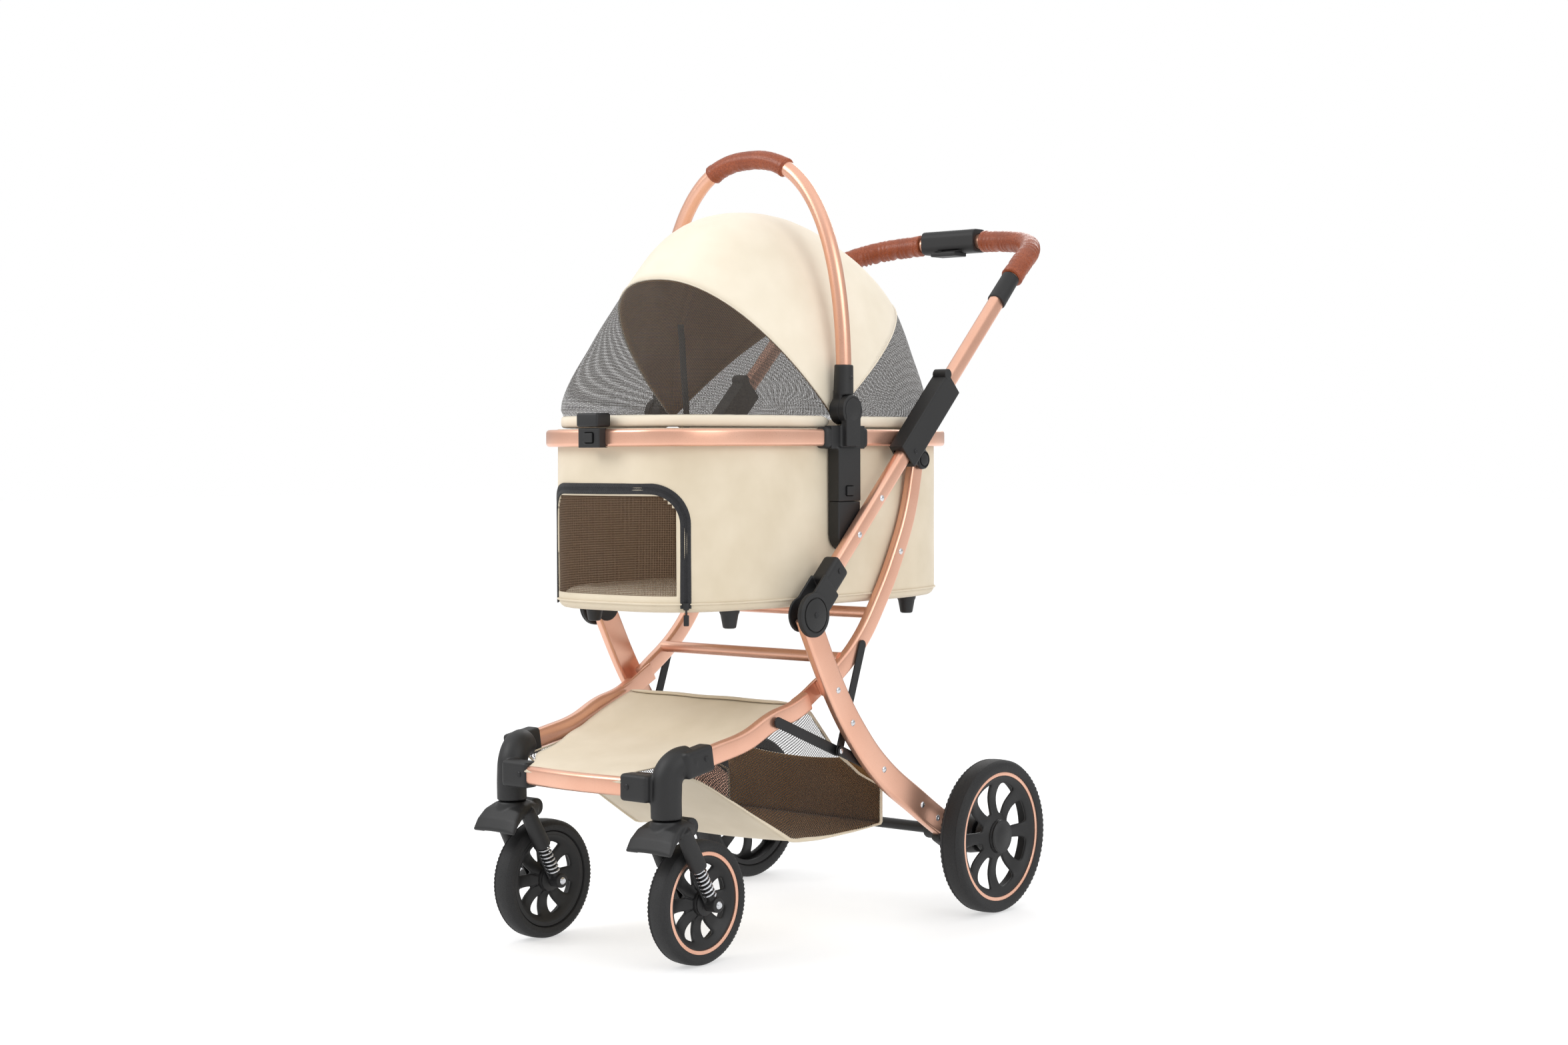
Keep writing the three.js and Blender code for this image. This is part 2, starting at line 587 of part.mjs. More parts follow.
function pushButton(face, y, z) {
  const { wide, high, depth, travel, proud } = button;
  const back = face - depth + travel + 0.4;
  return block(back, face + proud, y - wide / 2, y + wide / 2, z - high / 2, z + high / 2);
}

function lockBoxes() {
  const front = ring.y - ring.halfLength;
  const { half, deep, from, to, latch } = lockBox;
  const body = block(-half, half, front - deep, front + 5, from, to);
  const gap = prism(ovalPoints(-fitGap), ring.z - ring.high / 2 - fitGap, ring.z + ring.high / 2 + fitGap);
  const pocket = buttonPocket(0, 0, 0).rotateZ(-Math.PI / 2).translate(0, front - deep, ring.z);
  const press = pushButton(0, 0, 0).rotateZ(-Math.PI / 2).translate(0, front - deep, ring.z);
  const upper = block(-half, half, front - deep + 1, front + rim.inset + 5, rim.bottom, rim.bottom + latch);
  return { box: cut(body, gap, pocket), press, upper };
}

function canopyBow() {
  const oval = ovalRing(rim.inset, rim.wide, rim.bottom, rim.bottom + rim.high);
  const ahead = block(-400, 400, hood.y - 500, hood.y, rim.bottom - 1, rimTop);
  return join(common(oval, ahead), lockBoxes().upper);
}

function hoodPoints(shrink) {
  const points = [];
  const rimFront = hood.y - (ring.y - ring.halfLength + rim.inset);
  const rimRear = ring.y + ring.halfLength - rim.inset - hood.y;
  for (const [degrees, further, power] of hoodBows) {
    const angle = THREE.MathUtils.degToRad(degrees);
    const level = Math.cos(angle) ** 2;
    const reach = (degrees < 90 ? rimFront : rimRear) * level + hood.high * (1 - level) + further;
    for (let i = 0; i <= 12; i += 1) {
      const t = (Math.PI * i) / 12;
      const x = Math.sign(Math.cos(t)) * (hood.halfWidth - shrink) * Math.abs(Math.cos(t)) ** (2 / power);
      const r = (reach - shrink) * Math.sin(t) ** (2 / power);
      points.push(new THREE.Vector3(x, hood.y - r * Math.cos(angle), rimTop + r * Math.sin(angle)));
    }
  }
  return points;
}

const rimTop = rim.bottom + rim.high + hood.lift;

function hoodShell() {
  const outer = new ConvexGeometry(hoodPoints(0));
  const inner = new ConvexGeometry(hoodPoints(hood.wall));
  const below = block(-400, 400, hood.y - 500, hood.y + 500, rimTop - 100, rimTop + 0.5);
  const shell = cut(outer, inner, below);
  const behind = block(-400, 400, hood.y + 2 * runGap, hood.y + 500, rim.bottom, rimTop + 2);
  return join(shell, common(ovalRing(rim.inset, rim.wide, rim.bottom, rimTop + 2), behind));
}

class Arch extends THREE.Curve {
  getPoint(t, target = new THREE.Vector3()) {
    const angle = Math.PI * t;
    const high = carry.top - carry.radius - carry.start;
    const x = Math.sign(Math.cos(angle)) * carry.half * Math.abs(Math.cos(angle)) ** (2 / carry.power);
    return target.set(x, hub.y, carry.start + high * Math.sin(angle) ** (2 / carry.power));
  }
}

function carryHandle() {
  const tube = sweep(circle(carry.radius), new Stretch(new Arch(), 0, 1), 30, 4);
  const knuckles = [1, -1].map((side) => {
    const disc = barX([hub.y, hub.z], hub.radius, hub.x - 19, hub.x - runGap);
    const neck = block(hub.x - 17, hub.x - runGap, hub.y - 10, hub.y + 10, hub.z, carry.start + 2);
    const cup = barZ(carry.half - 0.5, hub.y, 12.5, hub.z + hub.radius + 3, 816);
    return onSide(join(disc, neck, cup), side);
  });
  return join(knuckles[0], tube, knuckles[1]);
}

function carryGrip() {
  const middle = new Stretch(new Arch(), 0.5 - carry.gripHalf, 0.5 + carry.gripHalf);
  return sweep(circle(carry.grip, carry.radius + 5 * fitGap), middle, 10, 5);
}

// ---- Assembly ------------------------------------------------------------------
const stroller = new THREE.Group();

function add(name, geometry, material, parent = stroller) {
  const mesh = new THREE.Mesh(geometry, material);
  mesh.name = name;
  parent.add(mesh);
  return mesh;
}

function addPair(name, shape, material) {
  for (const [side, word] of [[1, 'left'], [-1, 'right']]) {
    add(`${name}_${word}`, onSide(shape(), side), material());
  }
}

addPair('rear_leg', rearLeg, paint);
add('rear_axle', rearAxle(), plastic());
addPair('axle_bracket', axleBracket, plastic);
addPair('brake_pedal', brakePedal, plastic);
add('basket', basketShell(), fabric());

for (const [side, word] of [[1, 'left'], [-1, 'right']]) {
  const wheel = new THREE.Group();
  wheel.position.set(side * rearWheel.x, axle.y, axle.z);
  wheel.rotation.x = Math.PI / rearWheel.segments;
  add(`rear_rim_${word}`, rimOf(rearWheel, axle.radius), plastic(), wheel);
  add(`rear_tyre_${word}`, tyreOf(rearWheel), rubber(), wheel);
  stroller.add(wheel);
}

add('push_frame', pushFrame(), paint());
addPair('handle_grip', handleGrip, leather);
add('handle_housing', housingOfHandle(), plastic());
add('fold_lever', foldLever(), plastic());
addPair('hinge_socket', hingeSocket, plastic);
addPair('fold_slider', foldSlider, plastic);
addPair('receiver', receiver, plastic);

add('arc_frame', arcFrame(), paint());
addPair('front_arm', frontArm, paint);
addPair('castor_bracket', castorBracket, plastic);
add('front_crossbar', crossbarSolid(), paint());
add('footboard', footboardSheet(), fabric());
addPair('upright_link', uprightLink, plastic);
addPair('rear_brace', rearBrace, plastic);
addPair('front_brace', frontBrace, plastic);

for (const [side, word] of [[1, 'left'], [-1, 'right']]) {
  const castor = new THREE.Group();
  castor.position.set(side * frontWheel.x, frontWheel.y, frontWheel.radius);
  add(`fork_${word}`, fork(), plastic(), castor);
  add(`axle_yoke_${word}`, axleYoke(), plastic(), castor);
  add(`outer_spring_${word}`, coilSpring(side), steel(), castor);
  add(`inner_spring_${word}`, coilSpring(-side), steel(), castor);
  const wheel = new THREE.Group();
  wheel.rotation.x = Math.PI / frontWheel.segments;
  add(`front_rim_${word}`, rimOf(frontWheel, castorAxle), plastic(), wheel);
  add(`front_tyre_${word}`, tyreOf(frontWheel), rubber(), wheel);
  castor.add(wheel);
  stroller.add(castor);
}

const clampFace = adapter.inner + adapter.thick;
add('carrier_ring', carrierRing(), paint());
add('tub', tubShell(), fabric());
addPair('carrier_clamp', carrierClamp, plastic);
addPair('release_button', () => pushButton(clampFace, hub.y, button.z), plastic);
add('lock_box', lockBoxes().box, plastic());
add('lock_button', lockBoxes().press, plastic());
add('canopy_bow', canopyBow(), fabric());
add('hood', hoodShell(), fabric());
add('carry_handle', carryHandle(), paint());
add('carry_grip', carryGrip(), leather());

// The origin is the middle of the footprint, on the floor.
const bounds = new THREE.Box3().setFromObject(stroller, true);
stroller.position.y = -(bounds.min.y + bounds.max.y) / 2;

const model = new THREE.Group();
model.add(stroller);
export default model;
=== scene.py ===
# %% [markdown]
# # A pet stroller, finished in Blender
# The measured model holds every size and joint. This lesson dresses it: the tubes get smooth
# bends, the moulded parts get soft edges, and the fabric, leather and netting are made as what
# they are. Nothing is fitted by eye, because every place comes from the measured model.

# %% Load the measured model
import json
import math

import bpy
from mathutils import Matrix, Vector


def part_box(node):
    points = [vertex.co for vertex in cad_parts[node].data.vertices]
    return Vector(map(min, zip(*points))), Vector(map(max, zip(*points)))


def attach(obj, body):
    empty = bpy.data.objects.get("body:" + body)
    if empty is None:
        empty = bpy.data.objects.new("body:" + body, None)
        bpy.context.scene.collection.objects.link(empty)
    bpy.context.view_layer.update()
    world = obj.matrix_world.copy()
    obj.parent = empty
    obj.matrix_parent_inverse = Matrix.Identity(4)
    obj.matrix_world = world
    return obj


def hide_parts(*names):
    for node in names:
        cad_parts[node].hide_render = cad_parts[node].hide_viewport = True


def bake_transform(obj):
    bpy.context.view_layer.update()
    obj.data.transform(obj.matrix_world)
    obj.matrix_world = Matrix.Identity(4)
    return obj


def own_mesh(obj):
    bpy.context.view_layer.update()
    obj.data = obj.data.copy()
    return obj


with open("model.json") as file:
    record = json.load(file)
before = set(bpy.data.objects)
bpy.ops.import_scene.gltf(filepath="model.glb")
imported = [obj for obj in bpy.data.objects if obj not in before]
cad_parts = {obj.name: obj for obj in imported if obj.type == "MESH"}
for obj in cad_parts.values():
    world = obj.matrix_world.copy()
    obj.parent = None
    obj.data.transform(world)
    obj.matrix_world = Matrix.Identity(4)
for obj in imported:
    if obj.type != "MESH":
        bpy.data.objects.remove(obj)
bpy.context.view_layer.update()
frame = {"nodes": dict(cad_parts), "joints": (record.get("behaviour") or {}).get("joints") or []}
nodes = frame["nodes"]

# %% [markdown]
# Lengths below are in millimetres, in the stroller's own way: x from the middle to its left,
# y back from the rear axle, z up from the floor. One function turns them into the model's metres.

# %% Places
MM = 0.001
axle_low, axle_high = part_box("rear_axle")
axle_y = (axle_low[1] + axle_high[1]) / 2
SIDES = ((1, "left"), (-1, "right"))


def place(x, y, z):
    return Vector((x * MM, y * MM + axle_y, z * MM))


def deselect():
    bpy.ops.object.select_all(action="DESELECT")


def pick(obj):
    """Makes obj the only selected and the active object."""
    deselect()
    obj.select_set(True)
    bpy.context.view_layer.objects.active = obj


def add_object(name, data):
    """Puts a curve, a mesh, a lamp or a camera in the scene as a new object."""
    obj = bpy.data.objects.new(name, data)
    bpy.context.collection.objects.link(obj)
    return obj


print("rear axle at y =", round(axle_y, 4))

# %% [markdown]
# The camera comes first. It stands in front of the stroller and to its left, a little above
# hub height, and is turned so slightly that uprights still look upright.

# %% Camera
CAMERA_AT = (2308.6, -2965.4, 692.9)
CAMERA_TURN, CAMERA_TILT, CAMERA_ROLL = (math.radians(a) for a in (39.81, 1.67, 0.20))

camera_data = bpy.data.cameras.new("camera")
camera_data.lens = 55.07
camera_data.sensor_width = 36
camera = add_object("camera", camera_data)
back = Vector((math.sin(CAMERA_TURN) * math.cos(CAMERA_TILT),
               -math.cos(CAMERA_TURN) * math.cos(CAMERA_TILT), math.sin(CAMERA_TILT)))
right = Vector((math.cos(CAMERA_TURN), math.sin(CAMERA_TURN), 0))
up = back.cross(right)
rolled_right = right * math.cos(CAMERA_ROLL) - up * math.sin(CAMERA_ROLL)
rolled_up = right * math.sin(CAMERA_ROLL) + up * math.cos(CAMERA_ROLL)
camera.matrix_world = Matrix.Translation(place(*CAMERA_AT)) @ Matrix(
    (rolled_right, rolled_up, back)).transposed().to_4x4()
bpy.context.scene.camera = camera
print("camera at", [round(v, 3) for v in camera.location])

# %% [markdown]
# A product picture needs a white ground, but metal needs something darker to mirror. So the
# room looks plain white to the camera, while the light it gives is dim at the horizon and
# bright overhead. Large soft lamps leave long clean highlights on the painted tubes.

# %% Light and floor
world = bpy.data.worlds.new("studio")
bpy.context.scene.world = world
world.use_nodes = True
room = world.node_tree
sky = room.nodes["Background"]
sky.inputs["Color"].default_value = (1, 1, 1, 1)
way = room.nodes.new("ShaderNodeTexCoord")
upward = room.nodes.new("ShaderNodeSeparateXYZ")
glow = room.nodes.new("ShaderNodeMapRange")
seen = room.nodes.new("ShaderNodeLightPath")
choose = room.nodes.new("ShaderNodeMix")
room.links.new(way.outputs["Generated"], upward.inputs["Vector"])
room.links.new(upward.outputs["Z"], glow.inputs["Value"])
for label, value in (("From Min", -0.1), ("From Max", 0.8), ("To Min", 0.32), ("To Max", 1.18)):
    glow.inputs[label].default_value = value
room.links.new(seen.outputs["Is Camera Ray"], choose.inputs["Factor"])
room.links.new(glow.outputs["Result"], choose.inputs["A"])
choose.inputs["B"].default_value = 1.0
room.links.new(choose.outputs["Result"], sky.inputs["Strength"])
bpy.context.scene.view_settings.view_transform = "Standard"


def lamp(name, at, aim, size, watts):
    data = bpy.data.lights.new(name, "AREA")
    data.shape = "RECTANGLE"
    data.size, data.size_y = size
    data.energy = watts
    obj = add_object(name, data)
    obj.location = at
    obj.rotation_euler = (Vector(aim) - Vector(at)).to_track_quat("-Z", "Y").to_euler()


lamp("key_light", (-1.6, -2.6, 2.6), (0, 0, 0.6), (1.6, 1.6), 46)
lamp("fill_light", (3.0, -0.6, 1.9), (0, 0, 0.6), (2.0, 1.4), 26)
lamp("rim_light", (-1.2, 3.0, 2.4), (0, 0, 0.7), (2.0, 1.2), 34)

bpy.ops.mesh.primitive_plane_add(size=60, location=(0, 0, -0.0005))
floor = bpy.context.object
floor.name = "floor"

# %% [markdown]
# ## Finishes
# Each finish is a small network of shader nodes. What several of them share is a node group
# that is built once: a fine grain for paint and moulded plastic, a plain weave, a square net,
# and a staggered net with round holes. Two short helpers keep the wiring easy to read.

# %% Node helpers


def add_node(tree, kind, inputs=None, **settings):
    """Adds a node; an input is given as a value or as the socket that feeds it."""
    node = tree.nodes.new(kind)
    for key, value in settings.items():
        setattr(node, key, value)
    for key, value in (inputs or {}).items():
        if isinstance(value, bpy.types.NodeSocket):
            tree.links.new(value, node.inputs[key])
        else:
            node.inputs[key].default_value = value
    return node


def maths(tree, operation, a, b=0.0):
    return add_node(tree, "ShaderNodeMath", {0: a, 1: b}, operation=operation).outputs[0]


def new_group(name, inputs, outputs):
    tree = bpy.data.node_groups.new(name, "ShaderNodeTree")
    for label, value in inputs.items():
        socket = tree.interface.new_socket(label, in_out="INPUT", socket_type="NodeSocketFloat")
        socket.default_value = value
    for label in outputs:
        tree.interface.new_socket(label, in_out="OUTPUT", socket_type="NodeSocketFloat")
    return tree, tree.nodes.new("NodeGroupInput"), tree.nodes.new("NodeGroupOutput")


def use_group(tree, group, **values):
    node = tree.nodes.new("ShaderNodeGroup")
    node.node_tree = group
    for label, value in values.items():
        node.inputs[label].default_value = value
    return node


# %% [markdown]
# Paint and moulded plastic are never quite smooth. The grain group gives a fine speckle for
# the bump and a broad cloud for slow changes of colour and gloss. It reads object coordinates,
# so it needs no unwrapped mesh.

# %% Grain group


def grain_group():
    tree, given, out = new_group(
        "fine_grain", {"Grains per metre": 900, "Clouds per metre": 9}, ["Speckle", "Cloud"])
    spot = tree.nodes.new("ShaderNodeTexCoord").outputs["Object"]
    speckle = add_node(tree, "ShaderNodeTexNoise", {
        "Vector": spot, "Scale": given.outputs["Grains per metre"], "Detail": 2, "Roughness": 0.6})
    cloud = add_node(tree, "ShaderNodeTexNoise", {
        "Vector": spot, "Scale": given.outputs["Clouds per metre"], "Detail": 3})
    tree.links.new(speckle.outputs["Fac"], out.inputs["Speckle"])
    tree.links.new(cloud.outputs["Fac"], out.inputs["Cloud"])
    return tree


fine_grain = grain_group()
print("group:", fine_grain.name)

# %% [markdown]
# Cloth and netting follow the fabric, so their groups read the UV map, which is drawn in
# metres on every soft piece below. In a plain weave the warp and the weft take turns on top,
# like the squares of a chessboard. A net is the same grid with holes in it.

# %% Weave and net groups


def grid_lines(tree, given, turn=0.0):
    """Two waves that cross zero between the threads, one each way of the cloth, turned or not."""
    uv = add_node(tree, "ShaderNodeUVMap").outputs["UV"]
    turned_uv = add_node(tree, "ShaderNodeVectorRotate", {"Vector": uv, "Angle": turn},
                         rotation_type="Z_AXIS")
    split = add_node(tree, "ShaderNodeSeparateXYZ", {"Vector": turned_uv.outputs["Vector"]})
    turns = maths(tree, "MULTIPLY", given.outputs["Threads per metre"], math.pi)
    return [maths(tree, "SINE", maths(tree, "MULTIPLY", split.outputs[i], turns)) for i in (0, 1)]


def weave_group():
    tree, given, out = new_group("plain_weave", {"Threads per metre": 1400}, ["Height"])
    across, along = grid_lines(tree, given)
    over = maths(tree, "GREATER_THAN", maths(tree, "MULTIPLY", across, along), 0)
    warp = maths(tree, "MULTIPLY", maths(tree, "ABSOLUTE", across), over)
    weft = maths(tree, "MULTIPLY", maths(tree, "ABSOLUTE", along), maths(tree, "SUBTRACT", 1, over))
    tree.links.new(maths(tree, "ADD", warp, weft), out.inputs["Height"])
    return tree


def net_group():
    tree, given, out = new_group("square_net", {"Threads per metre": 500, "Thread width": 0.4}, ["Thread"])
    across, along = (maths(tree, "ABSOLUTE", wave) for wave in grid_lines(tree, given))
    least = maths(tree, "MINIMUM", across, along)
    tree.links.new(maths(tree, "LESS_THAN", least, given.outputs["Thread width"]), out.inputs["Thread"])
    return tree


def holes_group():
    tree, given, out = new_group(
        "staggered_net", {"Threads per metre": 150, "Thread width": 0.35}, ["Thread"])
    across, along = grid_lines(tree, given, math.pi / 4)
    both = maths(tree, "ABSOLUTE", maths(tree, "MULTIPLY", across, along))
    tree.links.new(maths(tree, "LESS_THAN", both, given.outputs["Thread width"]), out.inputs["Thread"])
    return tree


plain_weave, square_net, staggered_net = weave_group(), net_group(), holes_group()
print("groups:", [g.name for g in bpy.data.node_groups])

# %% [markdown]
# The first finishes are hard ones. Colour, gloss and a low bump all come from the grain
# group. Numbers that are the same all over, such as the coat of the metallic paint, are set
# straight on the shader.

# %% Hard finishes


def srgb(r, g, b):
    """A colour picked in ordinary 0-255 steps, as the linear light that shaders use."""
    steps = [v / 255 for v in (r, g, b)]
    return tuple(v / 12.92 if v <= 0.04045 else ((v + 0.055) / 1.055) ** 2.4 for v in steps) + (1.0,)


def start_material(name):
    material = bpy.data.materials.new(name)
    material.use_nodes = True
    tree = material.node_tree
    return material, tree, tree.nodes["Principled BSDF"]


def blend_colours(tree, mask, dark, light):
    node = add_node(tree, "ShaderNodeMix", data_type="RGBA")
    tree.links.new(mask, node.inputs["Factor"])
    node.inputs["A"].default_value = dark
    node.inputs["B"].default_value = light
    return node.outputs["Result"]


def between(tree, mask, low, high):
    limits = {"Value": mask, "From Min": 0.3, "From Max": 0.7, "To Min": low, "To Max": high}
    return add_node(tree, "ShaderNodeMapRange", limits).outputs["Result"]


def bump(tree, shader, height, strength, distance):
    node = add_node(tree, "ShaderNodeBump", {"Height": height, "Strength": strength, "Distance": distance})
    tree.links.new(node.outputs["Normal"], shader.inputs["Normal"])


def hard_finish(name, dark, light, gloss, metallic=0.0, grains=900, depth=0.00004, strength=0.4, coat=0.0):
    material, tree, shader = start_material(name)
    grain = use_group(tree, fine_grain, **{"Grains per metre": grains})
    cloud = between(tree, grain.outputs["Cloud"], 0, 1)
    tree.links.new(blend_colours(tree, cloud, dark, light), shader.inputs["Base Color"])
    tree.links.new(between(tree, grain.outputs["Speckle"], *gloss), shader.inputs["Roughness"])
    shader.inputs["Metallic"].default_value = metallic
    shader.inputs["Coat Weight"].default_value = coat
    shader.inputs["Coat Roughness"].default_value = 0.25
    bump(tree, shader, grain.outputs["Speckle"], strength, depth)
    return material


rose_gold = hard_finish("rose_gold_paint", srgb(226, 172, 147), srgb(236, 187, 163), (0.26, 0.4), 0.85,
                        1600, 0.00003, 0.35, 0.15)
plastic = hard_finish("black_plastic", srgb(18, 18, 19), srgb(25, 25, 26), (0.46, 0.62), 0.0,
                      1300, 0.00006, 0.5)
rubber = hard_finish("tyre_rubber", srgb(26, 26, 27), srgb(35, 35, 36), (0.6, 0.8), 0.0, 700, 0.0001, 0.6)
black_steel = hard_finish("black_steel", srgb(30, 30, 31), srgb(38, 38, 40), (0.32, 0.5), 0.4, 1500)
bright_steel = hard_finish("spring_steel", srgb(196, 198, 202), srgb(222, 224, 228), (0.16, 0.3), 1.0, 700)
studio_floor = hard_finish("studio_floor", srgb(180, 180, 180), srgb(182, 182, 182), (0.8, 0.9), 0.0, 40)
floor_shader = studio_floor.node_tree.nodes["Principled BSDF"]
floor_shader.inputs["Emission Color"].default_value = (1, 1, 1, 1)
floor_shader.inputs["Emission Strength"].default_value = 0.55
floor.data.materials.append(studio_floor)
print("hard finishes:", [m.name for m in bpy.data.materials])

# %% [markdown]
# Cloth scatters light from its fibres, which the sheen of the shader gives, and its weave is a
# bump that repeats about every 0.7 mm. The netting is the same thread with holes cut by alpha.
# The lining is a warm brown, and looks darker from below because less light gets in.

# %% Soft finishes


def cloth_finish(name, dark, light, threads=1400, depth=0.00016, strength=0.35, sheen=0.25):
    material, tree, shader = start_material(name)
    weave = use_group(tree, plain_weave, **{"Threads per metre": threads})
    grain = use_group(tree, fine_grain, **{"Grains per metre": 240, "Clouds per metre": 14})
    cloud = between(tree, grain.outputs["Cloud"], 0, 1)
    tree.links.new(blend_colours(tree, cloud, dark, light), shader.inputs["Base Color"])
    tree.links.new(between(tree, grain.outputs["Speckle"], 0.8, 0.95), shader.inputs["Roughness"])
    shader.inputs["Sheen Weight"].default_value = sheen
    shader.inputs["Sheen Roughness"].default_value = 0.5
    uneven = maths(tree, "MULTIPLY", grain.outputs["Speckle"], 0.8)
    bump(tree, shader, maths(tree, "ADD", weave.outputs["Height"], uneven), strength, depth)
    return material


def net_finish(name, dark, light, group, threads, width):
    material, tree, shader = start_material(name)
    net = use_group(tree, group, **{"Threads per metre": threads, "Thread width": width})
    grain = use_group(tree, fine_grain, **{"Grains per metre": 500, "Clouds per metre": 20})
    colour = blend_colours(tree, between(tree, grain.outputs["Speckle"], 0, 1), dark, light)
    tree.links.new(colour, shader.inputs["Base Color"])
    tree.links.new(between(tree, grain.outputs["Cloud"], 0.7, 0.85), shader.inputs["Roughness"])
    tree.links.new(net.outputs["Thread"], shader.inputs["Alpha"])
    bump(tree, shader, grain.outputs["Speckle"], 0.3, 0.0001)
    return material


beige = cloth_finish("beige_fabric", srgb(210, 196, 171), srgb(220, 207, 184))
beige_light = cloth_finish("hood_fabric", srgb(228, 217, 196), srgb(236, 226, 207))
lining = cloth_finish("brown_lining", srgb(98, 76, 54), srgb(112, 88, 63), 900, 0.0002, 0.5, 0.1)
hood_lining = cloth_finish("hood_lining", srgb(182, 142, 98), srgb(198, 158, 112), 900, 0.0002, 0.5, 0.1)
basket_lining = cloth_finish("basket_lining", srgb(140, 104, 60), srgb(156, 118, 72), 900, 0.0002, 0.5, 0.1)
webbing = cloth_finish("black_webbing", srgb(33, 33, 35), srgb(41, 41, 44), 500, 0.0004, 0.8, 0.1)
black_net = net_finish("black_net", srgb(52, 48, 44), srgb(76, 70, 64), square_net, 460, 0.5)
brown_net = net_finish("door_net", srgb(92, 70, 50), srgb(116, 91, 67), square_net, 420, 0.44)
basket_net = net_finish("basket_net", srgb(26, 22, 20), srgb(42, 36, 32), staggered_net, 310, 0.38)
print("soft finishes:", beige.name, lining.name, black_net.name)

# %% [markdown]
# Leather has a pebbled skin. A Voronoi pattern gives the pebbles, and the valleys between
# them are darker and duller, as on a real wrapped handle.

# %% Leather


def leather_finish():
    material, tree, shader = start_material("tan_leather")
    spot = tree.nodes.new("ShaderNodeTexCoord").outputs["Object"]
    pebbles = add_node(tree, "ShaderNodeTexVoronoi", {"Vector": spot, "Scale": 620}, feature="SMOOTH_F1")
    grain = use_group(tree, fine_grain, **{"Grains per metre": 260, "Clouds per metre": 30})
    uneven = maths(tree, "MULTIPLY", grain.outputs["Cloud"], 0.8)
    mixed = maths(tree, "ADD", pebbles.outputs["Distance"], uneven)
    shade = add_node(tree, "ShaderNodeMapRange", {"Value": mixed, "From Min": 0.3, "From Max": 1.0})
    colour = blend_colours(tree, shade.outputs["Result"], srgb(168, 84, 44), srgb(128, 58, 27))
    tree.links.new(colour, shader.inputs["Base Color"])
    tree.links.new(between(tree, pebbles.outputs["Distance"], 0.36, 0.52), shader.inputs["Roughness"])
    bump(tree, shader, maths(tree, "SUBTRACT", 1, mixed), 0.3, 0.0002)
    return material


tan_leather = leather_finish()
print("leather:", tan_leather.name)

# %% [markdown]
# ## Tubes
# The real frame is bent aluminium tube. A tube is easiest to draw as a curve that follows its
# middle line, with its section as a second flat curve. Blender sweeps one along the other,
# and the result is then turned into a mesh.

# %% Sweep helpers


def section(name, width, height, corner, steps=5):
    """A rounded rectangle, drawn flat round the origin, to sweep along a path."""
    data = bpy.data.curves.new(name, "CURVE")
    points = []
    for turn in range(4):
        x = (width / 2 - corner) * (1 if turn in (0, 3) else -1)
        y = (height / 2 - corner) * (1 if turn in (0, 1) else -1)
        for step in range(steps + 1):
            angle = math.pi / 2 * (turn + step / steps)
            points.append(((x + corner * math.cos(angle)) * MM, (y + corner * math.sin(angle)) * MM))
    spline = data.splines.new("POLY")
    spline.points.add(len(points) - 1)
    for point, (x, y) in zip(spline.points, points):
        point.co = (x, y, 0, 1)
    spline.use_cyclic_u = True
    return add_object(name, data)


def sweep(name, points, shape, closed=False, smooth=10, twist="Z_UP", fill=True):
    """Sweeps the section along a smooth line through the points and makes it a mesh."""
    data = bpy.data.curves.new(name, "CURVE")
    data.dimensions = "3D"
    data.twist_mode = twist
    data.resolution_u = smooth
    data.bevel_mode = "OBJECT"
    data.bevel_object = shape
    data.use_fill_caps = fill
    spline = data.splines.new("BEZIER")
    spline.bezier_points.add(len(points) - 1)
    spline.use_cyclic_u = closed
    for knot, point in zip(spline.bezier_points, points):
        knot.co = point
        knot.handle_left_type = knot.handle_right_type = "AUTO"
    obj = add_object(name, data)
    pick(obj)
    bpy.ops.object.convert(target="MESH")
    return tidy_mesh(bpy.context.object)


def edit_all(obj, *steps):
    """Runs operators, each given with its settings, on the whole mesh in edit mode."""
    pick(obj)
    bpy.ops.object.mode_set(mode="EDIT")
    bpy.ops.mesh.select_all(action="SELECT")
    for operator, settings in steps:
        operator(**settings)
    bpy.ops.object.mode_set(mode="OBJECT")


def tidy_mesh(obj, angle=40):
    """Merges doubles, turns all faces outwards and shades the mesh smooth."""
    edit_all(obj, (bpy.ops.mesh.remove_doubles, {"threshold": 0.01 * MM}),
             (bpy.ops.mesh.normals_make_consistent, {"inside": False}))
    bpy.ops.object.shade_smooth_by_angle(angle=math.radians(angle))
    return obj


def finish_piece(obj, material, body, slot_name, *replaced):
    """Gives a new piece its finish and its body, and hides the nodes it stands for; slot_name is not used."""
    if not obj.data.materials:
        obj.data.materials.append(material)
    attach(obj, body)
    if replaced:
        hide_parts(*replaced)
    return obj


def mirrored(obj, name):
    """A copy on the other side of the middle, with its own mesh."""
    twin = obj.copy()
    twin.data = obj.data.copy()
    twin.name = name
    bpy.context.collection.objects.link(twin)
    twin.data.transform(Matrix.Scale(-1, 4, (1, 0, 0)))
    twin.data.flip_normals()
    return twin


print("sweep helpers ready")

# %% [markdown]
# The pivots come from the joints of the measured model. Between them each tube has only the
# bend points that its shape needs. The rear leg bends out to the wheel, the arc climbs from
# the crossing to the slider, and the front arm runs low to the castor.

# %% Frame tubes
pivot = {joint["name"]: Vector(joint["pos_m"]) for joint in frame["joints"] if joint["type"] == "hinge"}
leg_top, crossing = pivot["fold"], pivot["front_fold"]
rear_rivet, arc_rivet = pivot["rear_brace_turn"], pivot["upright_link_turn"]
arm_rivet = pivot["front_brace_turn"]


def on_side(x, point):
    return Vector((x * MM, point.y, point.z))


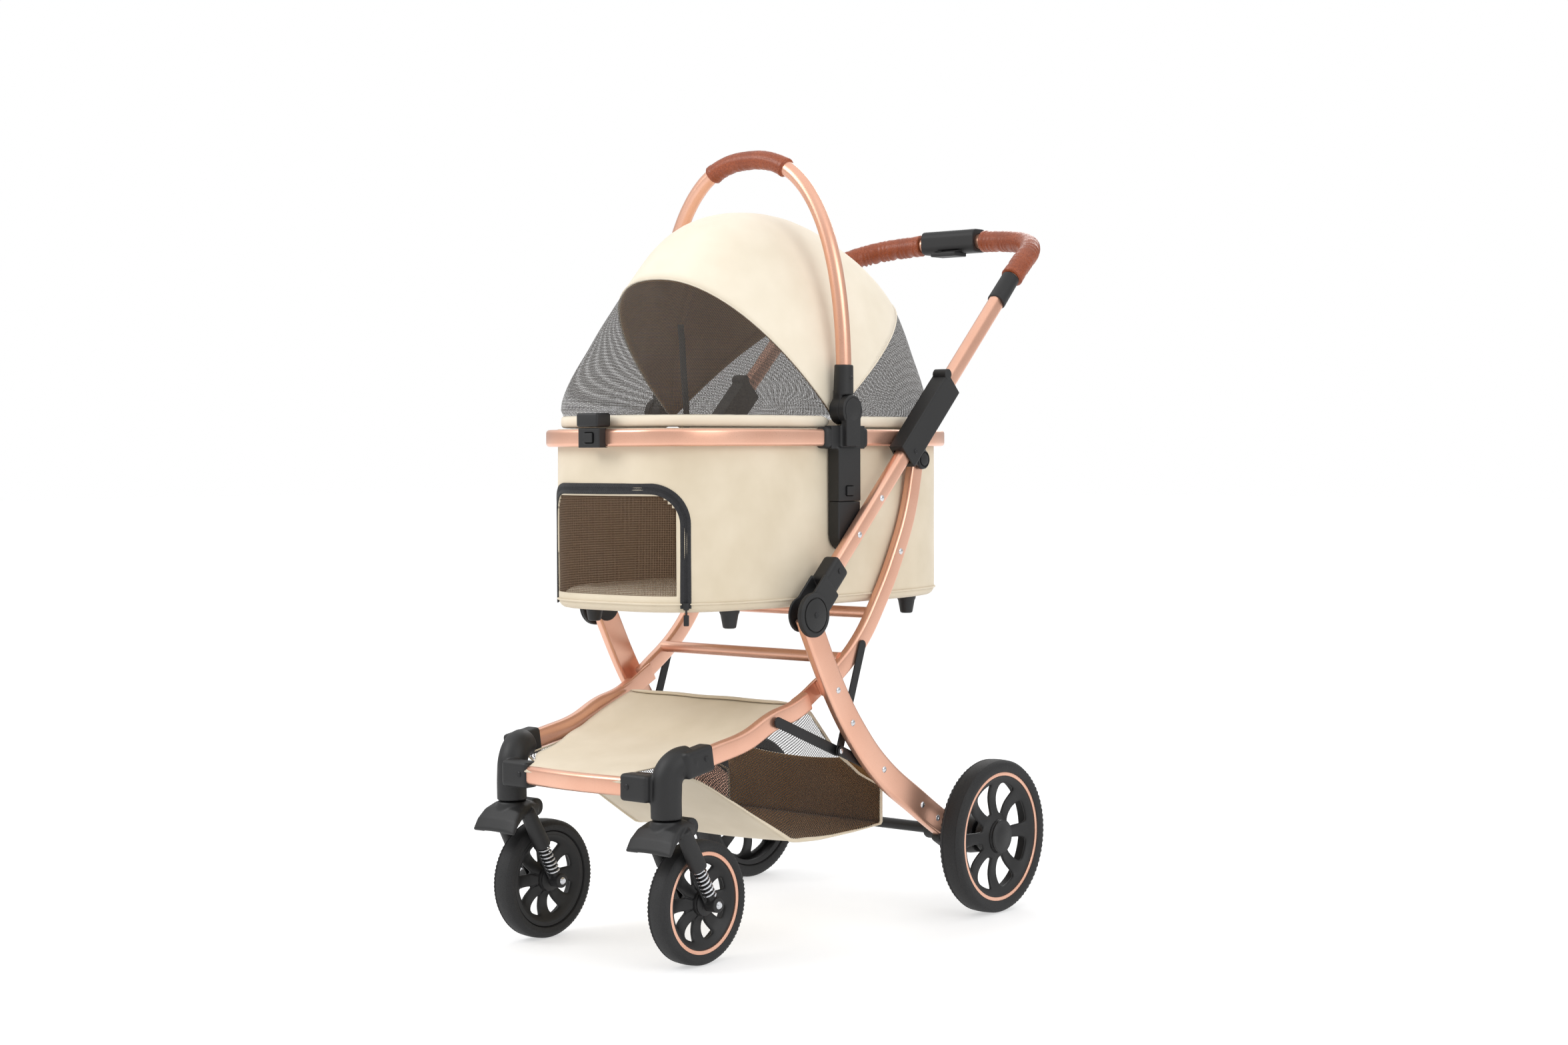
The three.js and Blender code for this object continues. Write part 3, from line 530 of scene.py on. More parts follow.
LEG_X, ARC_X, ARM_X, ARM_FRONT_X, PUSH_X = 197.5, 175.3, 170, 164, 197
leg_bends = [(-276, 293), rear_rivet, (-124, 172), (-86, 148), (-52, 128)]
arc_bends = [arc_rivet, (-190, 478), (-147, 547), (-120, 605), (-100, 682)]
arm_bends = [(-351, 342), (-380, 330), arm_rivet, (-478, 298), (-533, 287), (-602, 276)]


def path_at(x, bends, x_end=None):
    """Points of the side plane at the distance x, or drifting from x to x_end."""
    x_end = x if x_end is None else x_end
    last = len(bends) - 1
    found = []
    for i, bend in enumerate(bends):
        across = x + (x_end - x) * i / last
        found.append(on_side(across, bend) if isinstance(bend, Vector) else place(across, *bend))
    return found


leg_section = section("leg_section", 15, 40, 5)
arc_section = section("arc_section", 15, 27, 5)
arm_section = section("arm_section", 15, 28, 5)
leg_left = sweep("rear_leg_tube_left", path_at(LEG_X, [leg_top, crossing] + leg_bends), leg_section)
arm_left = sweep("front_arm_tube_left", path_at(ARM_X, arm_bends, ARM_FRONT_X), arm_section)
eye_bends = [crossing - Vector((0, -0.012, -0.006)), crossing, (-351, 342), (-372, 333)]
arm_eye = sweep("arm_eye", path_at(ARM_X - 5, eye_bends), section("eye_section", 5, 28, 2))
arc_left = sweep("arc_tube_left", path_at(ARC_X, [crossing] + arc_bends), arc_section)
print("leg tube size:", [round(v, 3) for v in leg_left.dimensions])

# %% [markdown]
# The twin tubes are copies. Both crossbars are part of the arc, and the push frame is two
# straight arms with a round bow between them, so those are swept apart and then joined.

# %% Twin tubes and crossbars


def joined(first, *others):
    deselect()
    for obj in (first, *others):
        obj.select_set(True)
    bpy.context.view_layer.objects.active = first
    bpy.ops.object.join()
    return first


def mirror_points(points):
    """The points and, from the last back, their twins on the right."""
    return points + [Vector((-p.x, p.y, p.z)) for p in reversed(points[:-1])]


arm_left = joined(arm_left, arm_eye)
for tube, body, stem in ((leg_left, "rear_frame", "rear_leg"), (arm_left, "front_frame", "front_arm")):
    twin = mirrored(tube, stem + "_tube_right")
    finish_piece(tube, rose_gold, body, "rose_gold_paint", stem + "_left")
    finish_piece(twin, rose_gold, body, "rose_gold_paint", stem + "_right")

crossbar_section = section("crossbar_section", 20, 16, 7)
bars = [sweep("crossbar", [place(x, y, z) for x in (-171, 0, 171)], crossbar_section)
        for y, z in ((-275, 398), (-201, 459))]
arc_tubes = joined(arc_left, mirrored(arc_left, "arc_right"), *bars)
arc_tubes.name = "arc_tubes"
finish_piece(arc_tubes, rose_gold, "arc", "rose_gold_paint", "arc_frame")

BAR_HALF, BAR_BOW = 104, 10
bar_line = [place(BAR_HALF * t, -638 - BAR_BOW * (1 - t**2), 246) for t in (-1, -0.5, 0, 0.5, 1)]
front_bar = sweep("front_crossbar_tube", bar_line, section("front_bar_section", 15, 26, 6))
finish_piece(front_bar, rose_gold, "front_frame", "rose_gold_paint", "front_crossbar")
print("arc tubes:", len(arc_tubes.data.polygons), "faces")

# %% [markdown]
# The push arms lean back at a fixed angle from the hinge. The bow turns up from their ends and
# carries the handle, so its points are kept for the leather and the housing too.

# %% Push frame
PUSH_LEAN = math.radians(44.5)
ROUND_STEPS = 8


def on_push(x, along, drop=0.0):
    """A point on the push arm: a distance along from the hinge, and a drop below its middle."""
    y = along * math.cos(PUSH_LEAN) + drop * math.sin(PUSH_LEAN)
    z = along * math.sin(PUSH_LEAN) - drop * math.cos(PUSH_LEAN)
    return Vector((x * MM, leg_top.y + y * MM, leg_top.z + z * MM))


bow_line = mirror_points([on_push(PUSH_X, 686)] + [place(*p) for p in (
    (195, 148, 985), (185, 186, 1008), (160, 216, 1022), (120, 232, 1030), (60, 239, 1034), (0, 241, 1036))])
push_section = section("push_section", 18, 25, 7)
push_arm_left = sweep("push_arm_tube", [on_push(PUSH_X, s) for s in (62, 376, 690)], push_section)
bow = sweep("bow", bow_line, section("bow_section", 24, 24, 11.9, ROUND_STEPS), twist="MINIMUM")
push_tubes = joined(push_arm_left, mirrored(push_arm_left, "push_right"), bow)
push_tubes.name = "push_tubes"
finish_piece(push_tubes, rose_gold, "push_arm", "rose_gold_paint", "push_frame")
print("push frame top:", round(max(v.co.z for v in push_tubes.data.vertices), 4))

# %% [markdown]
# The carrier hangs in an oval ring. A superellipse gives its shape: long flat sides and ends,
# with full corners. The carrying handle above it is an arch of the same family.

# %% Carrier ring and handle arch
RING = {"y": -266, "z": 714, "length": 334, "width": 180, "power": 3.6}
HUB_Y, HUB_Z = -273, 753


def power_wave(angle, power):
    """Cosine and sine with the corners filled out by the power."""
    c, s = math.cos(angle), math.sin(angle)
    share = 2 / power
    return math.copysign(abs(c) ** share, c), math.copysign(abs(s) ** share, s)


def oval(inset, z, count=48):
    """Points round the carrier's oval, drawn in from its outside by the inset."""
    wide, long = RING["width"] - inset, RING["length"] - inset
    waves = [power_wave(2 * math.pi * i / count, RING["power"]) for i in range(count)]
    return [place(wide * c, RING["y"] + long * s, z) for c, s in waves]


ring_tube = sweep("ring_tube", oval(7.5, RING["z"]), section("ring_section", 15, 24, 5),
                  closed=True, smooth=4, fill=False)
finish_piece(ring_tube, rose_gold, "carrier", "rose_gold_paint", "carrier_ring")


ARCH = {"half": 177, "z": 782, "rise": 341, "power": 2.4}


def arch(angle):
    c, s = power_wave(angle, ARCH["power"])
    return place(ARCH["half"] * c, HUB_Y, ARCH["z"] + ARCH["rise"] * s)


arch_tube = sweep("carry_tube", [arch(math.pi * i / 24) for i in range(25)],
                  section("arch_section", 22, 22, 10.9, ROUND_STEPS), twist="MINIMUM", smooth=6)
finish_piece(arch_tube, rose_gold, "carry_handle", "rose_gold_paint", "carry_handle")
print("ring size:", [round(v, 3) for v in ring_tube.dimensions])

# %% [markdown]
# ## Moulded parts
# The brackets, clamps and housings are moulded plastic. Their measured shapes are right but
# sharp. Three modifiers soften them in place: the loose triangles are welded, a fine voxel
# remesh makes an even skin, and a few rounds of smoothing melt the edges into radii.

# %% Soften the moulded parts


def soften(node_name, material, voxel=1.5, rounds=5):
    obj = nodes[node_name]
    weld = obj.modifiers.new("weld", "WELD")
    weld.merge_threshold = 0.00002
    remesh = obj.modifiers.new("skin", "REMESH")
    remesh.mode = "VOXEL"
    remesh.voxel_size = voxel * MM
    remesh.use_smooth_shade = True
    melt = obj.modifiers.new("melt", "SMOOTH")
    melt.factor = 0.5
    melt.iterations = rounds
    obj.data.materials.clear()
    obj.data.materials.append(material)
    return obj


paired_plastic = {"brake_pedal": (1.3, 4), "receiver": (1.3, 4), "carrier_clamp": (1.3, 3),
                  "fold_slider": (1.3, 3), "release_button": (0.6, 3)}
for stem, (voxel, rounds) in paired_plastic.items():
    for _, word in SIDES:
        soften(f"{stem}_{word}", plastic, voxel, rounds)
middle_plastic = {"handle_housing": 1.3, "fold_lever": 1.0, "lock_box": 1.1, "lock_button": 0.6}
for node_name, voxel in middle_plastic.items():
    soften(node_name, plastic, voxel, 3)
soften("rear_axle", black_steel, 1.5, 2)
for stem in ("upright_link", "rear_brace", "front_brace"):
    for _, word in SIDES:
        soften(f"{stem}_{word}", black_steel, 0.8, 1)
print("softened:", sum(1 for o in nodes.values() if o.modifiers))

# %% [markdown]
# ## Wheels
# A wheel is a turned part, so its rim, tyre and coloured ring are profiles spun about the
# axle. The spokes are broad paddles: a dished disc with a window between each pair, given a
# thickness and then smoothed, which rounds every corner of the windows.

# %% Turned parts


def turned(name, profile, centre, axis=(1, 0, 0), steps=64):
    """Spins (radius, distance along the axis) points, in millimetres, about an axis."""
    axis = Vector(axis)
    across = Vector((0, 0, 1)) if abs(axis.z) < 0.5 else Vector((1, 0, 0))
    points = [Vector(centre) + axis * h * MM + across * r * MM for r, h in profile]
    mesh = bpy.data.meshes.new(name)
    mesh.from_pydata(points, [(i, i + 1) for i in range(len(points) - 1)], [])
    obj = add_object(name, mesh)
    spin = {"steps": steps, "angle": 2 * math.pi, "center": centre, "axis": axis}
    edit_all(obj, (bpy.ops.mesh.spin, spin))
    return tidy_mesh(obj, 32)


CORNER_STEPS = 3


def rounded(corners, radius):
    """A closed profile with its corners rounded off."""
    found = []
    count = len(corners)
    for i, corner in enumerate(corners):
        here = Vector(corner)
        before = Vector(corners[i - 1]) - here
        after = Vector(corners[(i + 1) % count]) - here
        cut = min(radius, before.length * 0.45, after.length * 0.45)
        start, end = here + before.normalized() * cut, here + after.normalized() * cut
        for step in range(CORNER_STEPS + 1):
            t = step / CORNER_STEPS
            found.append(tuple(start * (1 - t) ** 2 + here * 2 * t * (1 - t) + end * t * t))
    return found + [found[0]]


def apply_modifiers(obj):
    pick(obj)
    for modifier in list(obj.modifiers):
        bpy.ops.object.modifier_apply(modifier=modifier.name)
    return obj


print("turning helpers ready")

# %% Rims with paddle spokes


def paddle_disc(name, centre, hub, outer, side, dish):
    """A dished disc with eight windows, from the hub radius out to the rim."""
    spokes, per_spoke = 8, 6
    radii = [hub - 8, hub + 3, hub + 9, (hub + outer) / 2, outer - 12, outer - 6, outer]
    verts, faces = [], []
    for r in radii:
        t = (r - radii[0]) / (outer - radii[0])
        deep = side * (dish * (0.62 - 1.5 * math.sin(math.pi * t) * 0.62) + 1)
        half = math.asin(min(0.92, (7.5 + 4.5 * t) / r))
        gap = 2 * math.pi / spokes - 2 * half
        for spoke in range(spokes):
            for k in range(per_spoke):
                if k < 3:
                    turn = -half + half * k
                else:
                    turn = half + gap * (k - 2) / 4
                angle = 2 * math.pi * spoke / spokes + turn
                spot = Vector((deep, r * math.cos(angle), r * math.sin(angle)))
                verts.append(Vector(centre) + spot * MM)
    row = spokes * per_spoke
    for i in range(len(radii) - 1):
        for j in range(row):
            if 1 < i < 4 and j % per_spoke >= 2:
                continue
            a, b = i * row + j, i * row + (j + 1) % row
            faces.append((a, b, b + row, a + row))
    mesh = bpy.data.meshes.new(name)
    mesh.from_pydata(verts, [], faces)
    obj = add_object(name, mesh)
    tidy_mesh(obj)
    wall = obj.modifiers.new("wall", "SOLIDIFY")
    wall.thickness = 7 * MM
    wall.offset = 0
    fine = obj.modifiers.new("fine", "SUBSURF")
    fine.levels = fine.render_levels = 2
    return apply_modifiers(obj)


def rim(word, side, stem, hub):
    """The rim, hub barrel and cap of a wheel; gives its centre and the radius of the rim."""
    node = f"{stem}_rim_{word}"
    tyre_low, tyre_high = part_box(f"{stem}_tyre_{word}")
    low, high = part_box(node)
    centre = (tyre_low + tyre_high) / 2
    half = (high.x - low.x) / 2 / MM
    outer = (high.z - centre.z) / MM
    disc = paddle_disc(node + "_paddles", centre, hub, outer - 3, side, half)
    lip, seat = outer - 0.4, outer - 9
    band_section = [(seat, -half + 6), (lip, -half + 4), (lip, half - 4), (seat, half - 6), (outer - 6, 0)]
    band = turned(node + "_band", rounded(band_section, 2), centre)
    barrel_section = [(9, -half), (hub - 4, -half), (hub, -half + 6), (hub, half - 5), (hub - 4, half - 1),
                      (9, half - 1)]
    barrel = turned(node + "_barrel", rounded(barrel_section, 3), centre, steps=48)
    cap_face, cap_foot = side * (half + 1.5), side * (half - 6)
    cap_section = [(0, cap_face), (hub * 0.45, cap_face), (hub * 0.55, cap_face - side * 1.2),
                   (hub - 3, cap_face - side * 1.6), (hub - 1, cap_face - side * 3), (hub - 1, cap_foot),
                   (0, cap_foot)]
    cap = turned(node + "_cap", cap_section, centre, steps=48)
    whole = joined(disc, band, barrel, cap)
    whole.name = node + "_paddles"
    finish_piece(whole, plastic, f"{stem}_wheel_{word}", "black_plastic", node)
    return centre, outer


def stripe(word, side, stem, centre, outer, half):
    face = side * half
    foot = face - side * 4
    profile = [(outer - 4.5, foot), (outer - 4.5, face), (outer + 1.2, face), (outer + 1.2, foot)]
    ring = turned(f"{stem}_stripe_{word}", rounded(profile, 1), centre, steps=96)
    finish_piece(ring, rose_gold, f"{stem}_wheel_{word}", "rose_gold_paint")


# %% [markdown]
# The tyre is solid foam rubber. Its tread is smooth in the middle, and fine ribs run round
# both shoulders. Every other step of the spin is moved out there, which makes the knurling
# real instead of painted.

# %% Tyres
RIB_STEPS, RIB_PUSH = 176, (-0.5, 1.0)


def tyre(word, stem, centre, outer):
    node = f"{stem}_tyre_{word}"
    low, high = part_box(node)
    radius = (high.z - centre.z) / MM
    half = (high.x - low.x) / 2 / MM
    seat = outer + 0.1
    shoulder = half * 0.72
    right_half = [(seat, half - 5), (seat + 1, half - 2.4), (seat + 4, half - 0.8),
                  ((seat + radius) / 2, half), (radius - 6.5, half - 1), (radius - 4.6, half - 1.8),
                  (radius - 1.6, shoulder), (radius - 0.7, shoulder - 1.2),
                  (radius - 1.6, shoulder - 2.2), (radius - 0.2, half * 0.35),
                  (radius, 0)]
    profile = right_half + [(r, -h) for r, h in reversed(right_half[:-1])] + [right_half[0]]
    obj = turned(node + "_foam", profile, centre, steps=RIB_STEPS)
    for vertex in obj.data.vertices:
        offset = vertex.co - centre
        r = math.hypot(offset.y, offset.z)
        edge = abs(offset.x) / MM
        if not half - 3.5 < edge < half - 0.5 or r < (radius - 8) * MM:
            continue
        push = RIB_PUSH[round(math.atan2(offset.y, offset.z) / (2 * math.pi) * RIB_STEPS) % 2]
        vertex.co.x += math.copysign(push * 0.4 * MM, offset.x)
        vertex.co.y += offset.y / r * push * MM
        vertex.co.z += offset.z / r * push * MM
    finish_piece(obj, rubber, f"{stem}_wheel_{word}", "tyre_rubber", node)


for side, word in SIDES:
    for stem, paddle_side, hub, stripe_half in (("rear", side, 26, 15.5), ("front", 1, 18, 14.5)):
        hub_centre, seat_radius = rim(word, paddle_side, stem, hub)
        tyre(word, stem, hub_centre, seat_radius)
        stripe(word, side, stem, hub_centre, seat_radius, stripe_half)
print("wheels done")

# %% [markdown]
# ## Soft goods
# Fabric is made as sheets of points: rows that lie where the cloth lies. Each sheet gets a UV
# map in metres, measured along its own rows and columns, so the weave keeps its size. A
# thickness is added inwards last, and the inside can have its own finish.


def run_lengths(points, start):
    """Distance along the points, counted from the one at start."""
    total, found = 0.0, [0.0]
    for a, b in zip(points, points[1:]):
        total += (b - a).length
        found.append(total)
    return [v - found[start] for v in found]


def cloth(name, rows, closed=False, inside=None):
    """A sheet through rows of points, facing away from the inside point."""
    if closed:
        rows = [row + [row[0].copy()] for row in rows]
    count, wide = len(rows), len(rows[0])
    across = [run_lengths(row, wide // 2) for row in rows]
    along = [run_lengths([row[j] for row in rows], 0) for j in range(wide)]
    mesh = bpy.data.meshes.new(name)
    quads = [(i * wide + j, i * wide + j + 1, (i + 1) * wide + j + 1, (i + 1) * wide + j)
             for i in range(count - 1) for j in range(wide - 1)]
    mesh.from_pydata([p for row in rows for p in row], [], quads)
    uv = mesh.uv_layers.new(name="UVMap")
    for loop in mesh.loops:
        i, j = divmod(loop.vertex_index, wide)
        uv.data[loop.index].uv = (across[i][j], along[j][i])
    if inside is not None:
        facing = sum(face.normal.dot(face.center - Vector(inside)) * face.area for face in mesh.polygons)
        if facing < 0:
            mesh.flip_normals()
    obj = add_object(name, mesh)
    edit_all(obj, (bpy.ops.mesh.remove_doubles, {"threshold": 0.02 * MM}))
    mesh.shade_smooth()
    return obj


def thicken(obj, thick, outer, inner=None):
    """Gives the sheet its thickness inwards, with the inner finish on the back."""
    obj.data.materials.append(outer)
    wall = obj.modifiers.new("wall", "SOLIDIFY")
    wall.thickness = thick * MM
    wall.offset = -1
    if inner is not None:
        obj.data.materials.append(inner)
        wall.material_offset = 1
    return apply_modifiers(obj)


def even(points, count, closed=False):
    """The same line with evenly spaced points."""
    line = points + [points[0]] if closed else points
    lengths = run_lengths(line, 0)
    found, k = [], 0
    for i in range(count):
        want = lengths[-1] * i / (count if closed else count - 1)
        while k < len(line) - 2 and lengths[k + 1] < want:
            k += 1
        step = lengths[k + 1] - lengths[k]
        found.append(line[k].lerp(line[k + 1], (want - lengths[k]) / step if step else 0))
    return found


def eased(a, b, slope_a, slope_b, t):
    """The cubic from a to b that starts and ends with the given slopes."""
    return (a * (2 * t**3 - 3 * t**2 + 1) + slope_a * (t**3 - 2 * t**2 + t)
            + b * (3 * t**2 - 2 * t**3) + slope_b * (t**3 - t**2))


def table_curve(table, x):
    """Smooth values between the rows of a table, whose first column is x."""
    k = max(i for i in range(len(table) - 1) if table[i][0] <= x or i == 0)
    before, a, b = table[max(k - 1, 0)], table[k], table[k + 1]
    after = table[min(k + 2, len(table) - 1)]
    t = min(1, max(0, (x - a[0]) / (b[0] - a[0])))
    found = []
    for p, q, r, s in zip(before[1:], a[1:], b[1:], after[1:]):
        slope_a = (r - p) / max(1e-9, b[0] - before[0]) * (b[0] - a[0])
        slope_b = (s - q) / max(1e-9, after[0] - a[0]) * (b[0] - a[0])
        found.append(eased(q, r, slope_a, slope_b, t))
    return found


print("sheet helpers ready")

# %% [markdown]
# The canopy is a fan of bows that all turn about the hubs. Each bow has an angle, a reach and
# a fullness, and the cloth runs smoothly from one to the next. The beige hood spans the
# middle of the fan, and a net window fills it at the front and at the back.

# %% Canopy fan
BOWS = ((-1, 303, 3.6), (2.5, 312, 3.6), (22, 285, 2.9), (42.4, 284, 2.3), (66, 300, 2.15), (92, 299, 2.1),
        (118, 305, 2.15), (145, 326, 2.4), (160, 312, 3), (177.5, 320, 3.6), (181, 316, 3.6))
FRONT_BOW, TOP_BOW, REAR_BOW = 42.4, 92, 145
RIM_TOP, HOOD_HALF, HOOD_REACH = 746.5, 158, 322
FAN_FINE, FAN_COLUMNS = 240, 49
fan_centre = place(0, HUB_Y, RIM_TOP)


def fan_point(degrees, t, inset=0.0):
    reach, power = table_curve(BOWS, degrees)
    c, s = power_wave(math.pi * t, power)
    turn = math.radians(degrees)
    r = max(0.0, reach - inset) * max(0.0, s)
    return place((HOOD_HALF - inset) * c, HUB_Y - r * math.cos(turn), RIM_TOP + r * math.sin(turn))


def fan_row(degrees, inset=0.0):
    return even([fan_point(degrees, i / FAN_FINE, inset) for i in range(FAN_FINE + 1)], FAN_COLUMNS)


def fan_sheet(name, start, end, steps, inset=0.0):
    rows = [fan_row(start + (end - start) * i / steps, inset) for i in range(steps + 1)]
    return cloth(name, rows, inside=fan_centre)


def fold_fan(obj, slot_name="beige_fabric", *replaced):
    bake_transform(obj)
    if replaced:
        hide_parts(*replaced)


hood = fan_sheet("hood_shell", FRONT_BOW, REAR_BOW, steps=36)
thicken(hood, 2.2, beige_light, hood_lining)
fold_fan(hood, "beige_fabric", "hood")
for name, start, end in (("front_window", -1, FRONT_BOW), ("rear_window", REAR_BOW, 181)):
    window = fan_sheet(name, start, end, steps=18, inset=1.2)
    window.data.materials.append(black_net)
    fold_fan(window)
print("hood faces:", len(hood.data.polygons))

# %% [markdown]
# Inside the hood, brown casings hold the bows. A narrow binding also edges the cloth at the
# front and the back, and a black strap hangs from the middle of the fan, to clip the pet to.

# %% Bow casings, bindings and strap
CIRCLE = [(math.cos(2 * math.pi * k / 8), math.sin(2 * math.pi * k / 8)) for k in range(9)]
BINDING_RADIUS = 1.7

for name, at, half_wide in (("casing_front", 44.2, 2.0), ("casing_top", TOP_BOW, 2.4),
                            ("casing_rear", REAR_BOW - 2.4, 2.2)):
    rows = [fan_row(at + half_wide * step, 2.6 + 2.4 * (1 - abs(step))) for step in (-1, -0.5, 0, 0.5, 1)]
    casing = thicken(cloth(name, rows, inside=fan_centre), 0.8, hood_lining)
    fold_fan(casing)

for name, at in (("binding_front", FRONT_BOW), ("binding_rear", REAR_BOW)):
    edge = fan_row(at, 0.6)
    rows = []
    for c, s in CIRCLE:
        out, over = BINDING_RADIUS * c, BINDING_RADIUS * s
        rows.append([p + (p - fan_centre).normalized() * out * MM + Vector((0, over * MM, 0)) for p in edge])
    binding = cloth(name, rows, inside=None)
    binding.data.materials.append(beige_light)
    fold_fan(binding)


STRAP_WIDE, STRAP_END = 11, (-434, 512)
strap_line = [(-424, 876), (-421, 850), (-418, 810), (-414, 770), (-412, 742), (-413, 700),
              (-417, 650), (-422, 600), (-428, 550), STRAP_END]
strap_steps = [Vector((STRAP_WIDE / 2 * step * MM, 0, 0)) for step in (-1, -0.34, 0.34, 1)]
strap = cloth("pet_strap", [[place(0, y, z) + step for step in strap_steps] for y, z in strap_line])
finish_piece(thicken(strap, 1.2, webbing), webbing, "carrier", "black_plastic")
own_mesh(strap)

# %% [markdown]
# A padded rim runs round the top of the carrier. Its front half swings up with the canopy, and
# its rear half stays, so it is two rolls with closed ends. Small wrinkles cross the roll.

# %% Padded rim


ROLL_POWER, ROLL_END, RIM_GAP = 3.0, 3, 0.004


def roll(name, line, wide, high, wrinkle=0.0, waves=60, sides=16):
    """A padded roll along a line, with an oval section and closed ends."""
    rows = []
    last = len(line) - 1
    for i, p in enumerate(line):
        ahead = line[min(i + 1, last)] - line[max(i - 1, 0)]
        side = ahead.cross(Vector((0, 0, 1))).normalized()
        over = side.cross(ahead).normalized()
        end = min(1.0, math.sqrt(min(i, last - i) / ROLL_END))
        row = []
        for k in range(sides):
            c, s = power_wave(2 * math.pi * k / sides, ROLL_POWER)
            shift = 2.1 * math.sin(3.0 * k / sides * 6.283 + i * 0.13)
            swell = 1 + wrinkle * math.sin(waves * 2 * math.pi * i / last + shift)
            row.append(p + side * c * wide / 2 * MM * end * swell + over * s * high / 2 * MM * end * swell)
        rows.append(row)
    return tidy_mesh(cloth(name, rows, closed=True), 60)


def rim_line(front):
    """The middle line of the rim, in front of the hubs or behind them."""
    ring_points = even(oval(25.5, 737, 720), 240, closed=True)
    hub_edge = place(0, HUB_Y, 0).y
    kept = [p for p in ring_points if (p.y < hub_edge - RIM_GAP) == front and abs(p.y - hub_edge) > RIM_GAP]
    middle_sign = -1 if front else 1
    return sorted(kept, key=lambda p: math.atan2(p.x, middle_sign * (p.y - place(0, RING["y"], 0).y)))


for front, name, body, replaced in ((True, "rim_front", "canopy_bow", ["canopy_bow"]),
                                    (False, "rim_rear", "carrier", [])):
    pad = roll(name, rim_line(front), wide=14, high=17, wrinkle=0.012, waves=34)
    finish_piece(pad, beige_light, body, "beige_fabric", *replaced)
print("rim points:", len(rim_line(True)))

# %% [markdown]
# The tub is sewn from one long wall and a floor. Its wall follows the oval of the ring, so a
# helper gives any point of it by the distance round from the front, the height, and how far it
# stands off the cloth. The window of the front door is left open in the wall.

# %% Tub wall
TUB = {"inset": 15.5, "bottom": 475, "round": 12, "top": 727}
DOOR = {"half": 124, "low": 500, "high": 637, "corner": 42}
WALL_COLUMNS = 300
front_first = even(oval(TUB["inset"], 0, 1440), WALL_COLUMNS, closed=True)
start = min(range(WALL_COLUMNS), key=lambda i: (front_first[i].y, abs(front_first[i].x)))
wall_line = front_first[start:] + front_first[:start]
tub_middle = place(0, RING["y"], 600)
wall_step = (wall_line[1] - wall_line[0]).length / MM
wall_round = wall_step * WALL_COLUMNS


def wall_point(s, z, off=0.0):
    """A point s millimetres round the wall from the front, towards the left."""
    k = s / wall_step
    i = math.floor(k)
    here, ahead = wall_line[i % WALL_COLUMNS], wall_line[(i + 1) % WALL_COLUMNS]
    before, beyond = wall_line[(i - 1) % WALL_COLUMNS], wall_line[(i + 2) % WALL_COLUMNS]
    t = k - i
    along = (ahead - before).lerp(beyond - here, t)
    out = Vector((along.y, -along.x, 0)).normalized()
    p = here.lerp(ahead, t) + out * off * MM
    return Vector((p.x, p.y, z * MM))


def slack(s, z):
    """The gentle unevenness of hung cloth, in millimetres."""
    turn = 2 * math.pi * s / wall_round
    deep = math.sin(math.pi * min(1, max(0, (z - TUB["bottom"]) / (TUB["top"] - TUB["bottom"]))))
    ripple = (math.sin(7 * turn + 0.02 * z) + 0.6 * math.sin(17 * turn + 1.3 - 0.015 * z)
              + 0.4 * math.sin(31 * turn))
    return deep * (0.9 + 0.55 * ripple)


def in_door(s, z):
    """Whether a point is inside the door's window, which has round top corners."""
    across = abs(s)
    if across > DOOR["half"] or not DOOR["low"] < z < DOOR["high"]:
        return False
    corner = DOOR["corner"]
    from_side, from_top = across - (DOOR["half"] - corner), z - (DOOR["high"] - corner)
    return not (from_side > 0 and from_top > 0 and math.hypot(from_side, from_top) > corner)


def wall_rows():
    """The wall from its rounded bottom edge up to the ring, with slack above that edge."""
    edge, top_rows = TUB["round"], 44
    quarter = [math.pi / 8 * k for k in range(5)]
    levels = [(TUB["bottom"] + edge * (1 - math.cos(a)), -edge * (1 - math.sin(a))) for a in quarter]
    low = levels[-1][0]
    levels += [(low + (TUB["top"] - low) * k / top_rows, 0) for k in range(1, top_rows + 1)]
    spots = [wall_step * i for i in range(WALL_COLUMNS)]
    return [[wall_point(s, z, off + (slack(s, z) if off == 0 else 0)) for s in spots] for z, off in levels]


tub = cloth("tub_wall", wall_rows(), closed=True, inside=tub_middle)
pick(tub)
bpy.ops.object.mode_set(mode="EDIT")
bpy.ops.mesh.select_all(action="DESELECT")
bpy.ops.object.mode_set(mode="OBJECT")
front_y = place(0, RING["y"], 0).y
for face in tub.data.polygons:
    centre = face.center
    near = min(range(-26, 27), key=lambda i: (wall_line[i].xy - centre.xy).length)
    face.select = centre.y < front_y and in_door(near * wall_step, centre.z / MM)
bpy.ops.object.mode_set(mode="EDIT")
bpy.ops.mesh.delete(type="FACE")
bpy.ops.object.mode_set(mode="OBJECT")
thicken(tub, 2.4, beige, lining)
finish_piece(tub, beige, "carrier", "beige_fabric", "tub")
print("round the tub:", round(wall_round), "mm")

# %% [markdown]
# The floor of the tub is a stiff panel with a padded mat on it, and four turned feet stand
# under it. A piping cord is sewn all round, just above the bottom edge.

# %% Floor, mat, piping and feet


FLOOR_RINGS, MAT_Z, NEARLY_NONE = 7, 496, 0.002


def floor_outline(inset, z):
    return even(oval(TUB["inset"] + inset, z, 480), 120, closed=True)


def floor_rows(z, inset):
    centre = place(0, RING["y"], z)
    shares = [max(1 - k / FLOOR_RINGS, NEARLY_NONE) for k in range(FLOOR_RINGS + 1)]
    return [[centre + (p - centre) * share for p in floor_outline(inset, z)] for share in shares]


